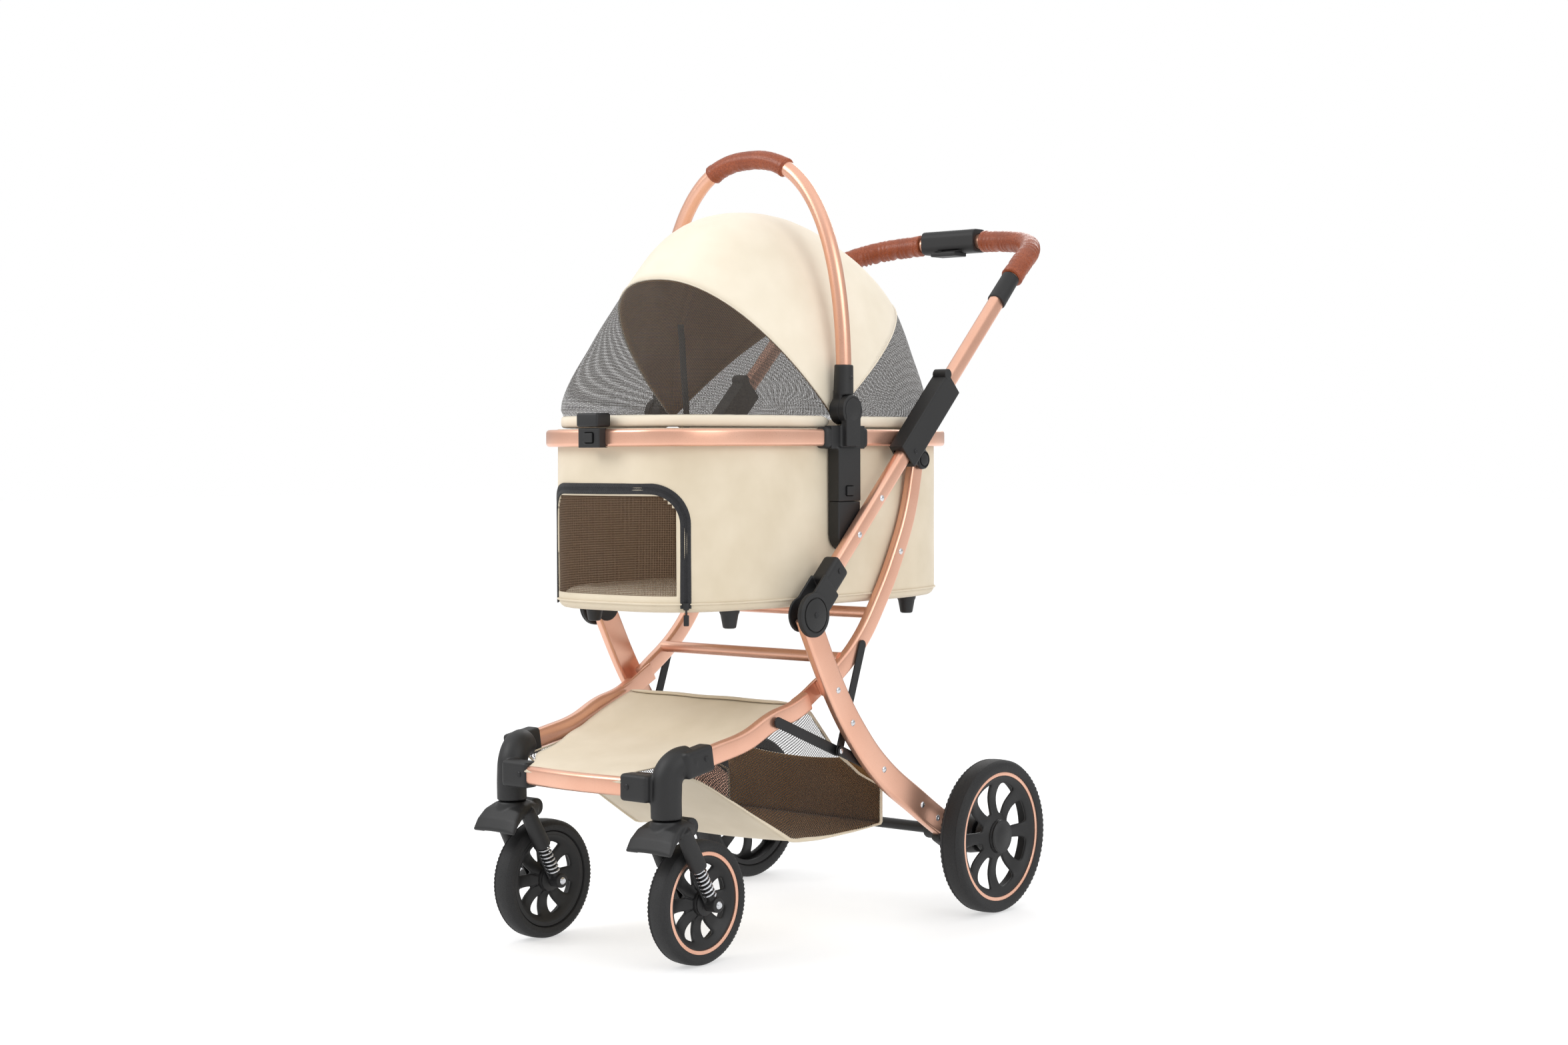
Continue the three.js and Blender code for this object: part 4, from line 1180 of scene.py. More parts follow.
panel = cloth("floor_panel", floor_rows(TUB["bottom"], TUB["round"] + 0.3), closed=True, inside=tub_middle)
thicken(panel, 4, beige, lining)
finish_piece(panel, beige, "carrier", "beige_fabric")


def padded_mat():
    """A flat mat: two crowned faces and a rounded side, quilted by a sewn line."""
    rows = []
    outline = floor_outline(8, 0)
    centre = place(0, RING["y"], 0)
    profile = [(NEARLY_NONE, 9), (0.25, 9.4), (0.5, 9.6), (0.7, 9.4), (0.8, 8.4), (0.83, 5.8), (0.86, 8.4),
               (0.93, 8.6), (0.975, 6.4), (0.995, 2.6), (1.0, 0), (0.995, -4), (0.97, -7.5), (0.9, -9),
               (0.5, -9), (NEARLY_NONE, -9)]
    for share, high in profile:
        lifts = [(MAT_Z + high + 0.5 * math.sin(i * 0.9) * share) * MM for i in range(len(outline))]
        rows.append([centre + (p - centre) * share + Vector((0, 0, lift)) for p, lift in zip(outline, lifts)])
    obj = cloth("floor_mat", rows, closed=True, inside=place(0, RING["y"], MAT_Z))
    fine = obj.modifiers.new("fine", "SUBSURF")
    fine.levels = fine.render_levels = 1
    return apply_modifiers(obj)


mat = finish_piece(padded_mat(), beige, "carrier", "beige_fabric")

PIPING_Z, PIPING_RADIUS = 487, 1.5
piping_rows = [[wall_point(wall_step * i, PIPING_Z + PIPING_RADIUS * s, 1.1 + PIPING_RADIUS * c)
                for i in range(WALL_COLUMNS)] for c, s in CIRCLE]
finish_piece(cloth("piping", piping_rows, closed=True), beige, "carrier", "beige_fabric")

foot_section = [(0, -25), (7, -25), (9, -24), (9.6, -22), (12.5, -6), (14, -3), (14.5, 1), (0, 1)]
for side, word in SIDES:
    for end, y in (("front", -470), ("rear", -63)):
        foot = turned(f"tub_foot_{word}_{end}", foot_section, place(130 * side, y, TUB["bottom"]),
                      axis=(0, 0, 1), steps=36)
        finish_piece(foot, plastic, "carrier", "black_plastic")
print("mat faces:", len(mat.data.polygons))

# %% [markdown]
# The door is a net panel with a zip round three sides. The zip's tape is a strip that follows
# the wall: two raised flaps with a row of teeth between them. Alternate steps of the middle
# line stand higher, and those are the teeth.

# %% Door net and zip
net_rows = [[wall_point(k * 6.3, z, -1.4) for k in range(-20, 21)] for z in range(496, 646, 6)]
door_net = cloth("door_net_panel", net_rows, inside=tub_middle)
finish_piece(door_net, brown_net, "carrier", "beige_fabric")

ZIP = {"side": 131, "top": 644, "corner": 49, "low": 481}
TOOTH_STEP, TOOTH_HIGH = 1.3, 0.55


def zip_path():
    """(s, z) and the outward direction across the tape, from the left end round to the right."""
    side, top, corner = ZIP["side"], ZIP["top"], ZIP["corner"]
    upright, level, bend = top - corner - ZIP["low"], 2 * (side - corner), math.pi / 2 * corner
    total = 2 * upright + 2 * bend + level
    found = []
    count = round(total / TOOTH_STEP)
    for i in range(count + 1):
        d = total * i / count
        half = d if d <= total / 2 else total - d
        sign = 1 if d <= total / 2 else -1
        if half < upright:
            s, z, n = side, ZIP["low"] + half, (1, 0)
        elif half < upright + bend:
            turn = (half - upright) / corner
            s, z = side - corner + corner * math.cos(turn), top - corner + corner * math.sin(turn)
            n = (math.cos(turn), math.sin(turn))
        else:
            s, z, n = side - corner - (half - upright - bend), top, (0, 1)
        found.append((sign * s, z, (sign * n[0], n[1])))
    return found


TAPE_HALF = ((1.7, 0.9), (2.6, 2.0), (5, 2.1), (7, 1.5), (7.6, 0.3))
TAPE = [(-across, high) for across, high in reversed(TAPE_HALF)] + [(0, 1.2), *TAPE_HALF]


def tape_rows():
    rows = []
    for across, high in TAPE:
        row = []
        for i, (s, z, (n_s, n_z)) in enumerate(zip_path()):
            tooth = TOOTH_HIGH * (i % 2) if across == 0 else 0.0
            row.append(wall_point(s + n_s * across, z + n_z * across, high + tooth + 0.6))
        rows.append(row)
    return rows


zip_tape = thicken(cloth("zip_tape", tape_rows(), inside=tub_middle), 0.8, webbing)
finish_piece(zip_tape, webbing, "carrier", "black_plastic")


def block(name, size, centre, corner, steps=3, turn=None):
    """A box with rounded edges, made at the origin, turned, and put in its place."""
    bpy.ops.mesh.primitive_cube_add(size=1, location=(0, 0, 0))
    obj = bpy.context.object
    obj.name = name
    obj.data.transform(Matrix.Diagonal((*[v * MM for v in size], 1)))
    round_off = obj.modifiers.new("round", "BEVEL")
    round_off.width = corner * MM
    round_off.segments = steps
    apply_modifiers(obj)
    obj.data.transform(Matrix.Translation(centre) @ (turn or Matrix.Identity(4)))
    pick(obj)
    bpy.ops.object.shade_smooth_by_angle(angle=math.radians(40))
    return obj


zip_foot = wall_point(ZIP["side"], ZIP["low"] + 3, 3.4)
zip_out = (wall_point(ZIP["side"], 500, 10) - wall_point(ZIP["side"], 500, 0)).normalized()
zip_turn = Matrix.Rotation(math.atan2(zip_out.x, -zip_out.y), 4, "Z")
slider_body = block("zip_slider", (8, 4, 10), zip_foot, 1.4, 3, zip_turn)
neck_at, pull_at = (zip_foot + Vector((0, 0, -drop)) + zip_out * 0.001 for drop in (0.008, 0.019))
pull = joined(slider_body, block("zip_neck", (3, 1.8, 10), neck_at, 0.8, 2, zip_turn),
              block("zip_pull", (7.5, 2.6, 15), pull_at, 1.2, 3, zip_turn))
finish_piece(pull, plastic, "carrier", "black_plastic")
print("zip steps:", len(zip_path()))

# %% [markdown]
# At the back the tub has a flat pocket, a second panel of the same cloth sewn on three sides.
# It stands off the wall a little in its middle, and its open top edge is bound in a thin roll.

# %% Rear pocket
POCKET = {"half": 112, "low": 520, "high": 675, "deep": 4.5}
rear_s = wall_round / 2


def pocket_off(u, v):
    """How far the pocket stands off, across u and up v, both from -1 to 1."""
    open_top = 1 - max(0, -v) ** 6
    return 0.9 + POCKET["deep"] * (1 - abs(u) ** 5) * open_top


def pocket_row(v):
    """A row of the pocket from one side to the other, at the height v from -1 to 1."""
    z = POCKET["low"] + (POCKET["high"] - POCKET["low"]) * (v + 1) / 2
    shares = [(k - 20) / 20 for k in range(41)]
    return [wall_point(rear_s + POCKET["half"] * u, z, pocket_off(u, v)) for u in shares]


pocket_rows = [pocket_row(-1 + 2 * j / 26) for j in range(27)]
pocket = thicken(cloth("rear_pocket", pocket_rows, inside=tub_middle), 1.2, beige)
finish_piece(pocket, beige, "carrier", "beige_fabric")
pocket_trim = roll("pocket_trim", pocket_row(1), wide=3.4, high=5, sides=10)
finish_piece(pocket_trim, beige_light, "carrier", "beige_fabric")
print("pocket:", POCKET)

# %% [markdown]
# ## Basket and footboard
# The basket hangs under the frame. Its front panel slopes up to the front bar, its floor is
# flat, and its sides are a knitted net with round holes, edged with binding. It is sewn to the
# front arms and to the rear legs.

# %% Basket
BASKET_HALF = 149


def hang_basket(obj, *replaced):
    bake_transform(obj)
    if replaced:
        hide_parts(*replaced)


def sag(u, deep):
    return -deep * (1 - u * u)


def basket_half(y):
    """Half the basket's width at y: it narrows towards the front bar."""
    widths = ((-640, 102), (-598, 122), (-480, 138), (-361, BASKET_HALF), (-150, BASKET_HALF))
    return table_curve(widths, y)[0]


def basket_panel(line, deep, count):
    """A panel between the sides, through (y, z) points, that sags in the middle."""
    points = even([place(0, y, z) for y, z in line], count)
    rows = []
    for i, p in enumerate(points):
        t = i / (count - 1)
        half = basket_half((p.y - axle_y) / MM)
        middle_of = math.sin(math.pi * t) ** 0.7 if 0 < t < 1 else 0
        shares = [k / 12 - 1 for k in range(25)]
        rows.append([p + Vector((half * u * MM, 0, sag(u, deep) * middle_of * MM)) for u in shares])
    return rows


base_line = [(-634, 246), (-598, 253), (-556, 253), (-520, 236), (-440, 189), (-361, 142), (-300, 139),
             (-220, 139), (-150, 142)]
basket_base = cloth("basket_base", basket_panel(base_line, 5, 41), inside=place(0, -300, 230))
thicken(basket_base, 2, beige, basket_lining)
hang_basket(basket_base, "basket")
back_line = [(-150, 142), (-150, 170), (-152, 205), (-158, 246)]
basket_back = cloth("basket_back", basket_panel(back_line, 0, 13), inside=place(0, -300, 200))
for vertex in basket_back.data.vertices:
    share = (vertex.co.z / MM - 142) / 104
    vertex.co.z += sag(vertex.co.x / MM / BASKET_HALF, 14) * max(0, share) ** 2 * MM
thicken(basket_back, 2, beige, basket_lining)
hang_basket(basket_back)


NET_TOP = ((-590, 266), (-540, 274), (-478, 287), (-425, 306), (-351, 330), (-318, 322), (-262, 262),
           (-205, 222), (-152, 198))
NET_LOW = ((-594, 253), (-556, 253), (-520, 236), (-440, 189), (-361, 143), (-300, 139), (-220, 139),
           (-152, 142))


def side_net(side, word):
    """The net between the arm above and the floor below, bulging a little outwards."""
    top, low = (even([place(0, y, z) for y, z in line], 41) for line in (NET_TOP, NET_LOW))
    rows = []
    for j in range(15):
        t = j / 14
        row = []
        for i, (a, b) in enumerate(zip(low, top)):
            p = a.lerp(b, t)
            bulge = 5 * math.sin(math.pi * t) * math.sin(math.pi * i / 40)
            half = basket_half((a.y - axle_y) / MM) * (1 - t) + BASKET_HALF * t
            p.x = side * (half + bulge + 1.1 * math.sin(i * 0.9 + 3 * t)) * MM
            row.append(p)
        rows.append(row)
    net = cloth(f"basket_net_{word}", rows, inside=place(0, -300, 220))
    net.data.materials.append(basket_net)
    hang_basket(net)
    border = [Vector((side * basket_half((p.y - axle_y) / MM) * MM, p.y, p.z)) for p in low]
    border += [Vector((side * BASKET_HALF * MM, p.y, p.z)) for p in reversed(top)]
    edge = even(border, 150, closed=True)
    hang_basket(binding_roll(f"basket_binding_{word}", edge))


ROLL_WIDE = 3.2
net_middle = place(0, -330, 200)


def binding_roll(name, edge):
    """A narrow roll of binding along a closed line in the side plane."""
    outward = [Vector((0, p.y - net_middle.y, p.z - net_middle.z)).normalized() for p in edge]
    rows = [[p + Vector((ROLL_WIDE * 0.6 * c, 0, 0)) * MM + out * ROLL_WIDE * s * MM
             for p, out in zip(edge, outward)] for c, s in CIRCLE]
    obj = tidy_mesh(cloth(name, rows, closed=True), 80)
    obj.data.materials.append(beige)
    return obj


for side, word in SIDES:
    side_net(side, word)

# %% [markdown]
# The footboard is a panel of cloth stretched between the front arms. It dips in the middle,
# and its rear edge is turned over into a hem that stands up a little.

# %% Footboard
board_line = [(-650, 252), (-643, 260), (-626, 265), (-602, 271), (-533, 285), (-478, 296), (-425, 318),
              (-366, 339)]
BOARD_ROWS = 37


def board_half(y):
    """Half the width at y: narrow at the front bar, wide between the arms."""
    widths = ((-652, 92), (-626, 96), (-612, 108), (-600, 117), (-560, 121), (-500, 146), (-440, 155),
              (-360, 157))
    return table_curve(widths, y)[0]


def board_rows():
    points = even([place(0, y, z) for y, z in board_line], BOARD_ROWS)
    last = BOARD_ROWS - 1
    rows = []
    for i, p in enumerate(points):
        half = board_half((p.y - axle_y) / MM)
        dip = 9 * math.sin(math.pi * i / last) ** 0.8 if 0 < i < last else 0
        row = []
        for u in [k / 16 - 1 for k in range(33)]:
            ripple = 0.5 * math.sin(9 * u + i * 0.5) * (1 - u * u)
            row.append(p + Vector((half * u * MM, 0, (sag(u, dip) + ripple) * MM)))
        rows.append(row)
    return rows


board = cloth("footboard_cloth", board_rows(), inside=place(0, -500, 200))
hem_line = [p + Vector((0, -0.004, 0.0006)) for p in board_rows()[-1]]
thicken(board, 2, beige)
finish_piece(board, beige, "front_frame", "beige_fabric", "footboard")
hem = roll("footboard_hem", hem_line, wide=9, high=4.4, sides=12)
finish_piece(hem, beige, "front_frame", "beige_fabric")
print("footboard done")

# %% [markdown]
# ## Leather grips
# The handles are wrapped in leather sleeves. Where the tube bends the leather gathers, so
# rings of the sleeve swell and shrink, more on the inside of the bend. Each end has a stitched
# hem, which is a slightly thicker band.

# %% Grips


SLEEVE_SIDES = 28


def sleeve(name, line, radius, wrinkle, waves):
    """A leather sleeve along a line, with gathered rings and a hem at each end."""
    lengths = run_lengths(line, 0)
    rows = []
    for i, p in enumerate(line):
        ahead = (line[min(i + 1, len(line) - 1)] - line[max(i - 1, 0)]).normalized()
        side = ahead.cross(Vector((0.02, 1, 0.3))).normalized()
        over = side.cross(ahead)
        from_end = min(lengths[i], lengths[-1] - lengths[i]) / MM
        hem_high = 0.8 if 1.5 < from_end < 9 else (-0.3 if from_end < 11 else 0)
        ease = min(1, from_end / 14)
        turn_in = 3.6 * max(0, 1 - from_end / 1.2)
        row = []
        for k in range(SLEEVE_SIDES):
            angle = 2 * math.pi * k / SLEEVE_SIDES
            phase = waves * 2 * math.pi * lengths[i] / lengths[-1]
            fold = math.sin(phase + 0.9 * math.sin(2 * angle) + 1.7 * math.sin(phase * 0.31))
            inner = 0.55 + 0.45 * math.cos(angle - 0.6)
            r = radius + hem_high - turn_in + wrinkle * ease * fold * inner
            row.append(p + (side * math.cos(angle) + over * math.sin(angle)) * r * MM)
        rows.append(row)
    obj = tidy_mesh(cloth(name, rows, closed=True), 70)
    obj.data.materials.append(tan_leather)
    return obj


def part_of(line, start, end, count):
    """The stretch of a line between two shares of its length, evenly stepped."""
    fine = even(line, 1201)
    return even(fine[round(start * 1200):round(end * 1200) + 1], count)


def smooth_line(points):
    """A smooth line through the points, as the swept tube runs."""
    found, last = [], len(points) - 1
    for i in range(last):
        p, q, r, s = points[max(i - 1, 0)], points[i], points[i + 1], points[min(i + 2, last)]
        found += [eased(q, r, (r - p) / 2, (s - q) / 2, k / 12) for k in range(12)]
    return found + [points[-1].copy()]


bow_fine = smooth_line(bow_line)
for word, start, end, wrinkle in (("left", 0.034, 0.402, 0.9), ("right", 0.598, 0.966, 1.5)):
    grip_line = part_of(bow_fine, start, end, 200)
    grip = sleeve(f"handle_sleeve_{word}", grip_line, radius=16.6, wrinkle=wrinkle, waves=21)
    finish_piece(grip, tan_leather, "push_arm", "tan_leather", f"handle_grip_{word}")
arch_fine = [arch(math.pi * i / 400) for i in range(401)]
carry_line = part_of(arch_fine, 0.412, 0.588, 110)
carry_sleeve = sleeve("carry_sleeve", carry_line, radius=13.8, wrinkle=0.35, waves=11)
finish_piece(carry_sleeve, tan_leather, "carry_handle", "tan_leather", "carry_grip")
print("grips done")

# %% [markdown]
# ## Castors and brackets, sculpted
# The castor parts are the most rounded mouldings. Each is blocked out from a few overlapping
# bodies, like clay on an armature. A voxel remesh then fuses them and smoothing fills the inner
# corners, which is how a moulded part blends one form into the next.

# %% Moulding helper


def moulded(name, parts, voxel=1.4, rounds=6):
    """Fuses overlapping closed parts into one smooth skin."""
    whole = joined(*parts)
    whole.name = name
    skin = whole.modifiers.new("skin", "REMESH")
    skin.mode = "VOXEL"
    skin.voxel_size = voxel * MM
    melt = whole.modifiers.new("melt", "SMOOTH")
    melt.factor = 0.5
    melt.iterations = rounds
    apply_modifiers(whole)
    pick(whole)
    bpy.ops.object.shade_smooth()
    return whole


def rod(name, start, end, radius, tip=None):
    """A round bar from start to end with slightly rounded rims; tip is its radius at the end."""
    tip = radius if tip is None else tip
    length = (end - start).length / MM
    edge = min(1.2, radius / 4, tip / 4)
    profile = [(0, 0), (radius - edge, 0), (radius, edge), (tip, length - edge), (tip - edge, length),
               (0, length)]
    return turned(name, profile, start, axis=(end - start).normalized(), steps=28)


def both_sides(obj, material, body, slot_name, *replaced):
    """Finishes a left part and makes its twin; a body or a node name may hold {}."""
    twin = mirrored(obj, obj.name.replace("left", "right"))
    for piece, word in ((obj, "left"), (twin, "right")):
        finish_piece(piece, material, body.format(word), slot_name, *[r.format(word) for r in replaced])


def screw(name, start, end, radius, body):
    """A pair of steel screw heads, a little narrower at their outer end."""
    both_sides(rod(name, start, end, radius, radius - 0.4), black_steel, body, "black_plastic")


def tilt(angle):
    return Matrix.Rotation(angle, 4, "X")


WHEEL = Vector(place(148, -560, 85))


def from_wheel(x, y, z):
    """A point given from the centre of the left front wheel."""
    return WHEEL + Vector((x, y, z)) * MM


LEG_LEAN = math.radians(29.5)


def on_fork(x, along):
    return from_wheel(x, -along * math.sin(LEG_LEAN), along * math.cos(LEG_LEAN))


SADDLE_SIDES, SADDLE_POWER, SADDLE_BOW = 34, 5, 3


def saddle(name, upper, lower, halves):
    """The mudguard: a lofted plate whose width changes from the front lip to the rear."""
    rows = []
    for (y, z), (v, w), half in zip(upper, lower, halves):
        row = []
        for k in range(SADDLE_SIDES):
            c, s = power_wave(2 * math.pi * k / SADDLE_SIDES, SADDLE_POWER)
            high = (z + w) / 2 + (z - w) / 2 * s - SADDLE_BOW * c * c
            row.append(from_wheel(half * c, (y + v) / 2 + (y - v) / 2 * s, high))
        rows.append(row)
    ends = [[sum(row, Vector()) / SADDLE_SIDES] * SADDLE_SIDES for row in (rows[0], rows[-1])]
    return tidy_mesh(cloth(name, [ends[0], *rows, ends[1]], closed=True), 60)


guard = saddle("mudguard", [(-98, 82), (-91, 97), (-80, 110), (-64, 118), (-46, 120), (-30, 116), (-22, 110)],
               [(-94, 78), (-84, 90), (-73, 97), (-62, 100), (-46, 100), (-32, 99), (-26, 102)],
               [41, 40, 37, 33, 29, 24, 18])
fork_parts = [guard, rod("crown", from_wheel(0, -60, 98), from_wheel(0, -60, 118), 25, 21.4),
              rod("neck", from_wheel(0, -60, 98), from_wheel(0, -60, 118), 21.5),
              rod("hump", from_wheel(-20, -30, 107), from_wheel(20, -30, 107), 13)]
for x in (30, -30):
    fork_parts.append(rod("leg_pod", on_fork(x, 60), on_fork(x, 122), 12.5, 11))
fork_left = moulded("fork_shell_left", fork_parts, 1.5, 7)
both_sides(fork_left, plastic, "castor_{}", "black_plastic", "fork_{}")

yoke_parts = [rod("axle_pin", from_wheel(-38, 0, 0), from_wheel(38, 0, 0), 5)]
for x in (30, -30):
    way = 1 if x > 0 else -1
    yoke_parts += [rod("axle_eye", from_wheel(x - 10, 0, 0), from_wheel(x + 10, 0, 0), 10.5),
                   rod("spring_rod", on_fork(x, 4), on_fork(x, 76), 5.2),
                   block("spring_back", (4, 17, 66), on_fork(x - way * 7.5, 34), 1.6, 2, tilt(LEG_LEAN))]
yoke_left = moulded("axle_yoke_shell_left", yoke_parts, 1.2, 3)
both_sides(yoke_left, plastic, "axle_yoke_{}", "black_plastic", "axle_yoke_{}")
both_sides(joined(rod("axle_bolt_left", from_wheel(39, 0, 0), from_wheel(42.5, 0, 0), 5.4, 4.6),
                  rod("bolt_twin", from_wheel(-39, 0, 0), from_wheel(-42.5, 0, 0), 5.4, 4.6)),
           bright_steel, "axle_yoke_{}", "spring_steel")
print("fork faces:", len(fork_left.data.polygons))

# %% [markdown]
# The suspension has two real coil springs on each castor. A coil is a round wire swept along a
# helix. On the real castor it gets shorter as the suspension moves.

# %% Coil springs
SPRING = {"from": 13, "to": 60, "radius": 8.1, "wire": 1.4, "turns": 7}
wire_section = section("wire_section", 2 * SPRING["wire"], 2 * SPRING["wire"], SPRING["wire"] * 0.98, 3)


def coil(name, x):
    along = (on_fork(x, 1) - on_fork(x, 0)).normalized()
    side = Vector((1, 0, 0))
    over = along.cross(side)
    points = []
    steps = SPRING["turns"] * 12
    for i in range(steps + 1):
        turn = 2 * math.pi * i / 12
        low, high = SPRING["from"] + SPRING["wire"], SPRING["to"] - SPRING["wire"]
        s = low + (high - low) * i / steps
        points.append(on_fork(x, s) + (side * math.cos(turn) + over * math.sin(turn)) * SPRING["radius"] * MM)
    return sweep(name, points, wire_section, smooth=2, twist="MINIMUM")


for place_word, x in (("outer", 30), ("inner", -30)):
    wound = coil(f"{place_word}_coil_left", x)
    both_sides(wound, bright_steel, "castor_{}", "spring_steel", place_word + "_spring_{}")
for _, word in SIDES:
    for place_word in ("outer", "inner"):
        wound = bpy.data.objects[f"{place_word}_coil_{word}"]
        side = (1 if word == "left" else -1) * (1 if place_word == "outer" else -1)
        anchor = on_fork(30 * side, SPRING["to"])
        if word == "right":
            anchor = Vector((-on_fork(30 * -side, SPRING["to"]).x, anchor.y, anchor.z))
        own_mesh(wound)
print("spring turns:", SPRING["turns"])

# %% [markdown]
# The front bracket is an elbow: a round post that turns back into a flat socket for the arm,
# with a second socket on its inner side for the front bar.

# %% Front brackets
post_section = section("post_section", 42, 42, 20.9, ROUND_STEPS)
elbow_line = [(148, -620, 204.5), (148, -620, 240), (148.5, -617, 262), (153, -604, 277), (159, -586, 281)]
elbow = sweep("castor_bracket_shell_left", [place(*p) for p in elbow_line], post_section, twist="MINIMUM")
arm_slope = math.atan2(11, 69)
arm_socket = block("arm_socket", (25, 54, 37), place(165, -582, 279.5), 5, 4, tilt(arm_slope))
bar_socket = block("bar_socket", (50, 26, 37), place(114, -637, 246), 5, 4)
bracket_left = moulded("castor_bracket_shell_left", [elbow, arm_socket, bar_socket], 1.5, 6)
both_sides(bracket_left, plastic, "front_frame", "black_plastic", "castor_bracket_{}")
both_sides(joined(rod("bracket_screw_left", place(176.8, -572, 283), place(179.2, -572, 283), 4.2, 3.8),
                  rod("bar_screw", place(103, -649.5, 247), place(103, -651.6, 247), 4.2, 3.8)),
           black_steel, "front_frame", "black_plastic")
print("bracket faces:", len(bracket_left.data.polygons))

# %% [markdown]
# At the back, the axle runs through a drum that hangs under the foot of each leg. A low cheek
# clasps the leg's lower edge, so the painted tube shows right down to its end.

# %% Axle brackets
AXLE_HIGH, DRUM_FROM, DRUM_TO = 115, 186.5, 223.5
drum_wide = DRUM_TO - DRUM_FROM
drum = turned("drum", [(0, 0), (27, 0), (30, 3), (30, 20), (27, drum_wide), (0, drum_wide)],
              place(DRUM_FROM, 0, AXLE_HIGH), steps=48)
cheek = block("cheek", (22, 74, 32), place(LEG_X, -46, 110), 8, 4, tilt(math.radians(-30)))
axle_shell = moulded("axle_bracket_shell_left", [drum, cheek], 1.5, 5)
both_sides(axle_shell, plastic, "rear_frame", "black_plastic", "axle_bracket_{}")
print("axle bracket faces:", len(axle_shell.data.polygons))

# %% [markdown]
# ## Hinges, hubs and rivets
# The hinge of the push arm is a boot on the arm that ends in a round boss, closed by a disc with
# a raised rim and a screw. The same disc, smaller, closes the hub of the carrying handle.

# %% Hinge boots and discs


def cap_profile(radius, thick, rim):
    """The section of a disc with a rounded edge, a groove and a low raised middle."""
    groove, low, inner = thick - 1.4, thick + 1.2, radius - rim
    return [(0, 0), (radius, 0), (radius, groove), (radius - 1.4, thick), (inner, thick),
            (inner - 0.6, groove), (inner - 1.8, groove), (inner - 2.4, thick + 0.4),
            (inner - 4, low), (0, low)]


def on_arm_block(name, size, x, along, corner):
    return block(name, size, on_push(x, along), corner, 4, tilt(PUSH_LEAN))


boot = moulded("hinge_boot_left", [
    rod("boss", on_side(184.5, leg_top), on_side(188, leg_top), 25),
    rod("boss_outer", on_side(206.5, leg_top), on_side(212.5, leg_top), 31.5),
    on_arm_block("boot_sleeve", (27, 44, 36), PUSH_X, 76, 6),
    on_arm_block("boot_neck", (5, 56, 44), 209.8, 30, 2.2),
    on_arm_block("boot_neck_inner", (3.4, 52, 40), 185.4, 32, 1.6)], 1.3, 4)
both_sides(boot, plastic, "push_arm", "black_plastic", "hinge_socket_{}")
hinge_cap = turned("hinge_cap_left", cap_profile(31, 3.2, 6), on_side(212.2, leg_top))
both_sides(hinge_cap, plastic, "push_arm", "black_plastic")
screw("hinge_screw_left", on_side(216, leg_top), on_side(218, leg_top), 4.4, "push_arm")
screw("boot_screw_left", on_push(210.2, 84), on_push(211.9, 84), 4, "push_arm")
print("hinge boot faces:", len(boot.data.polygons))

# %% [markdown]
# The carrying handle ends in a cup, a neck and a round knuckle that turns on the hub. A collar
# hugs the ring where the clamp holds it. At the front, the latch of the canopy sits in the rim.

# %% Handle knuckles, ring collars, canopy latch
knuckle = moulded("handle_knuckle_left", [
    rod("cup", place(176, HUB_Y, 774), place(177, HUB_Y, 818), 14.5, 13.6),
    rod("disc", place(164.5, HUB_Y, HUB_Z), place(182, HUB_Y, HUB_Z), 20),
    block("knuckle_neck", (17, 27, 28), place(174, HUB_Y, 770), 4)], 1.2, 4)
both_sides(knuckle, plastic, "carry_handle", "black_plastic")
hub_cap = turned("hub_cap_left", cap_profile(22, 10, 4), place(184, HUB_Y, HUB_Z), steps=56)
both_sides(hub_cap, plastic, "carrier", "black_plastic")
screw("cup_screw_left", place(189.5, HUB_Y, 799), place(191.3, HUB_Y, 799), 3.6, "carry_handle")
collar = block("ring_collar_left", (23, 98, 31), place(173, HUB_Y, RING["z"]), 7, 5)
both_sides(collar, plastic, "carrier", "black_plastic")
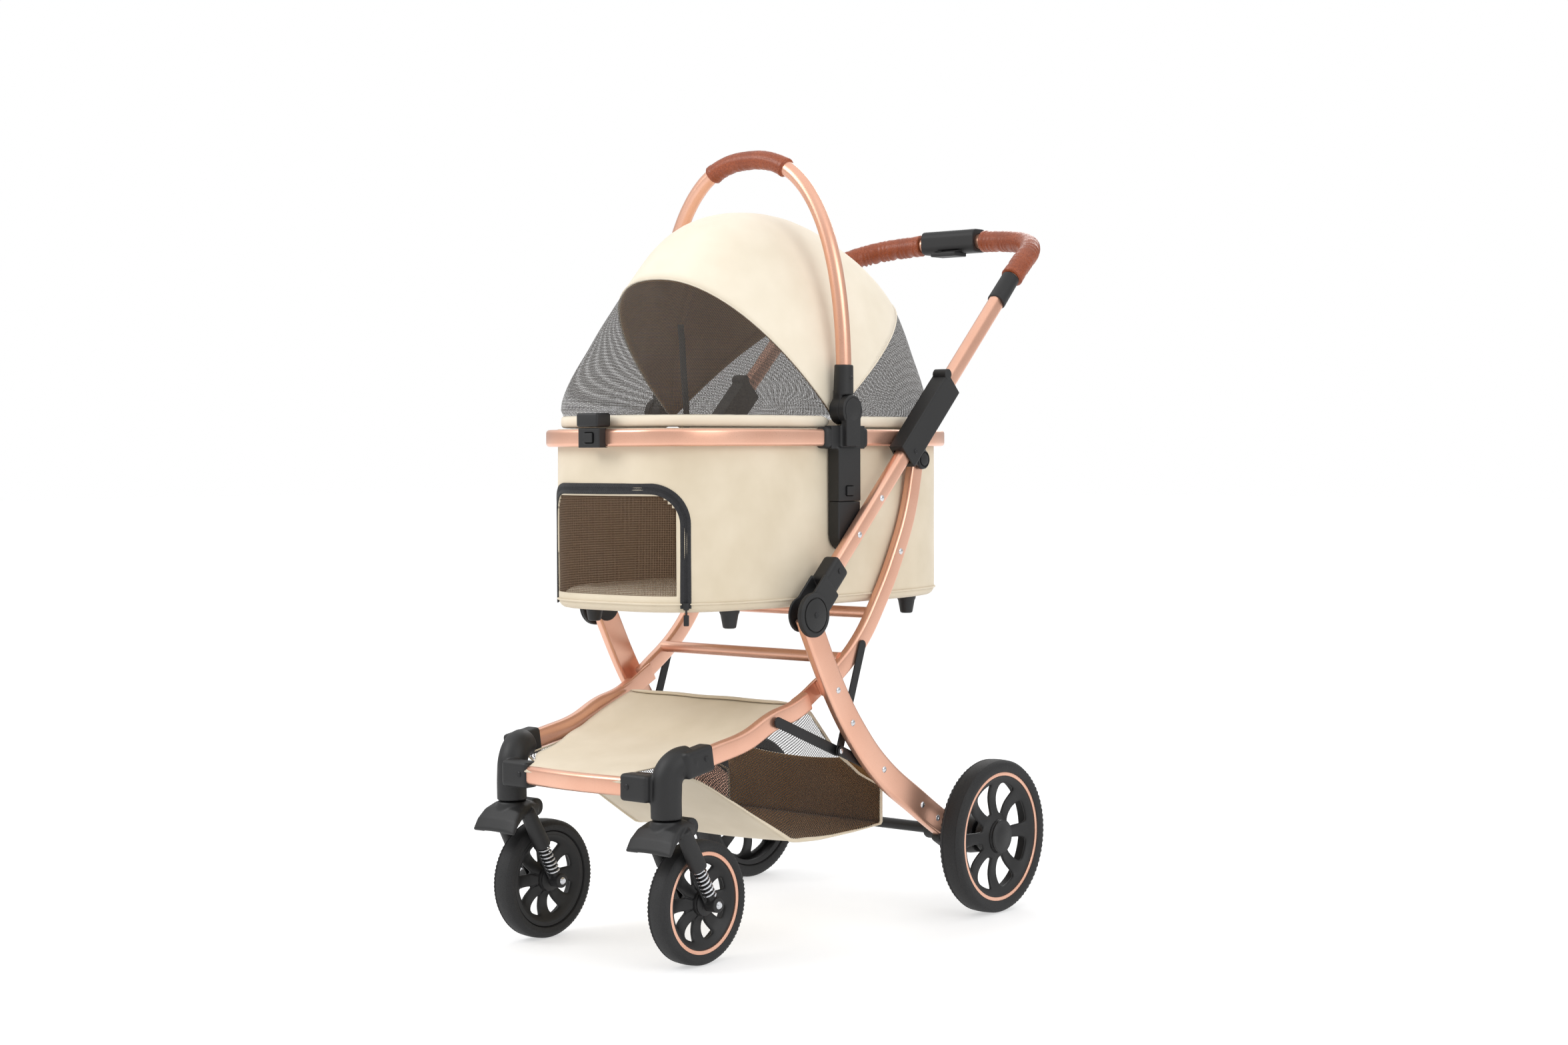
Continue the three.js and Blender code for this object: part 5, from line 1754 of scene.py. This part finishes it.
latch = block("canopy_latch", (40, 28, 19), place(0, -603, 738.5), 3, 4)
finish_piece(latch, plastic, "canopy_bow", "black_plastic")
arm_collar = rod("arm_collar_left", on_push(PUSH_X, 650), on_push(196.6, 706), 14.6, 14)
both_sides(arm_collar, plastic, "push_arm", "black_plastic")
print("knuckle faces:", len(knuckle.data.polygons))

# %% [markdown]
# Sliders carry a knurled roll at their top and a screwed disc on their lug. Bright rivets hold
# the braces and the arms; each is a shallow dome on the outer face of its tube.

# %% Slider details and rivets
slider_roll = rod("slider_roll_left", on_push(186, 468, -19), on_push(211, 468, -19), 8)
both_sides(slider_roll, plastic, "sliders", "black_plastic")
lug_disc = turned("lug_disc_left", cap_profile(14, 3, 2.5), place(189, -100, 682), steps=40)
both_sides(lug_disc, plastic, "sliders", "black_plastic")
screw("slider_screw_left", on_push(209.5, 330, 6), on_push(211.4, 330, 6), 3.8, "sliders")


def rivet(name, at):
    dome = [(0, -0.5), (4.6, -0.5), (4.6, 0.4), (4.1, 1.1), (2.8, 1.8), (1.2, 2.1), (0, 2.2)]
    return turned(name, dome, at, steps=24)


LEG_FACE, ARC_FACE, ARM_FACE, PUSH_FACE, BRACE_FACE = 205, 182.8, 177.5, 206, 188
for body, face, spots in (
        ("rear_frame", LEG_FACE,
         [rear_rivet, place(0, -124, 172), place(0, -86, 148), crossing, place(0, -290, 308)]),
        ("arc", ARC_FACE, [arc_rivet, place(0, -147, 547)]), ("front_frame", ARM_FACE, [arm_rivet]),
        ("push_arm", PUSH_FACE, [on_push(0, 155), on_push(0, 228)]),
        ("rear_braces", BRACE_FACE, [place(0, -296, 267)])):
    domes = joined(*[rivet(f"rivets_{body}_left", on_side(face, spot)) for spot in spots])
    domes.name = f"rivets_{body}_left"
    both_sides(domes, bright_steel, body, "spring_steel")
print("rivets made")

# %% [markdown]
# The flat sections have done their work, so they are removed.

# %% Close the scene
for leftover in [o for o in bpy.data.objects if o.type == "CURVE"]:
    bpy.data.objects.remove(leftover)
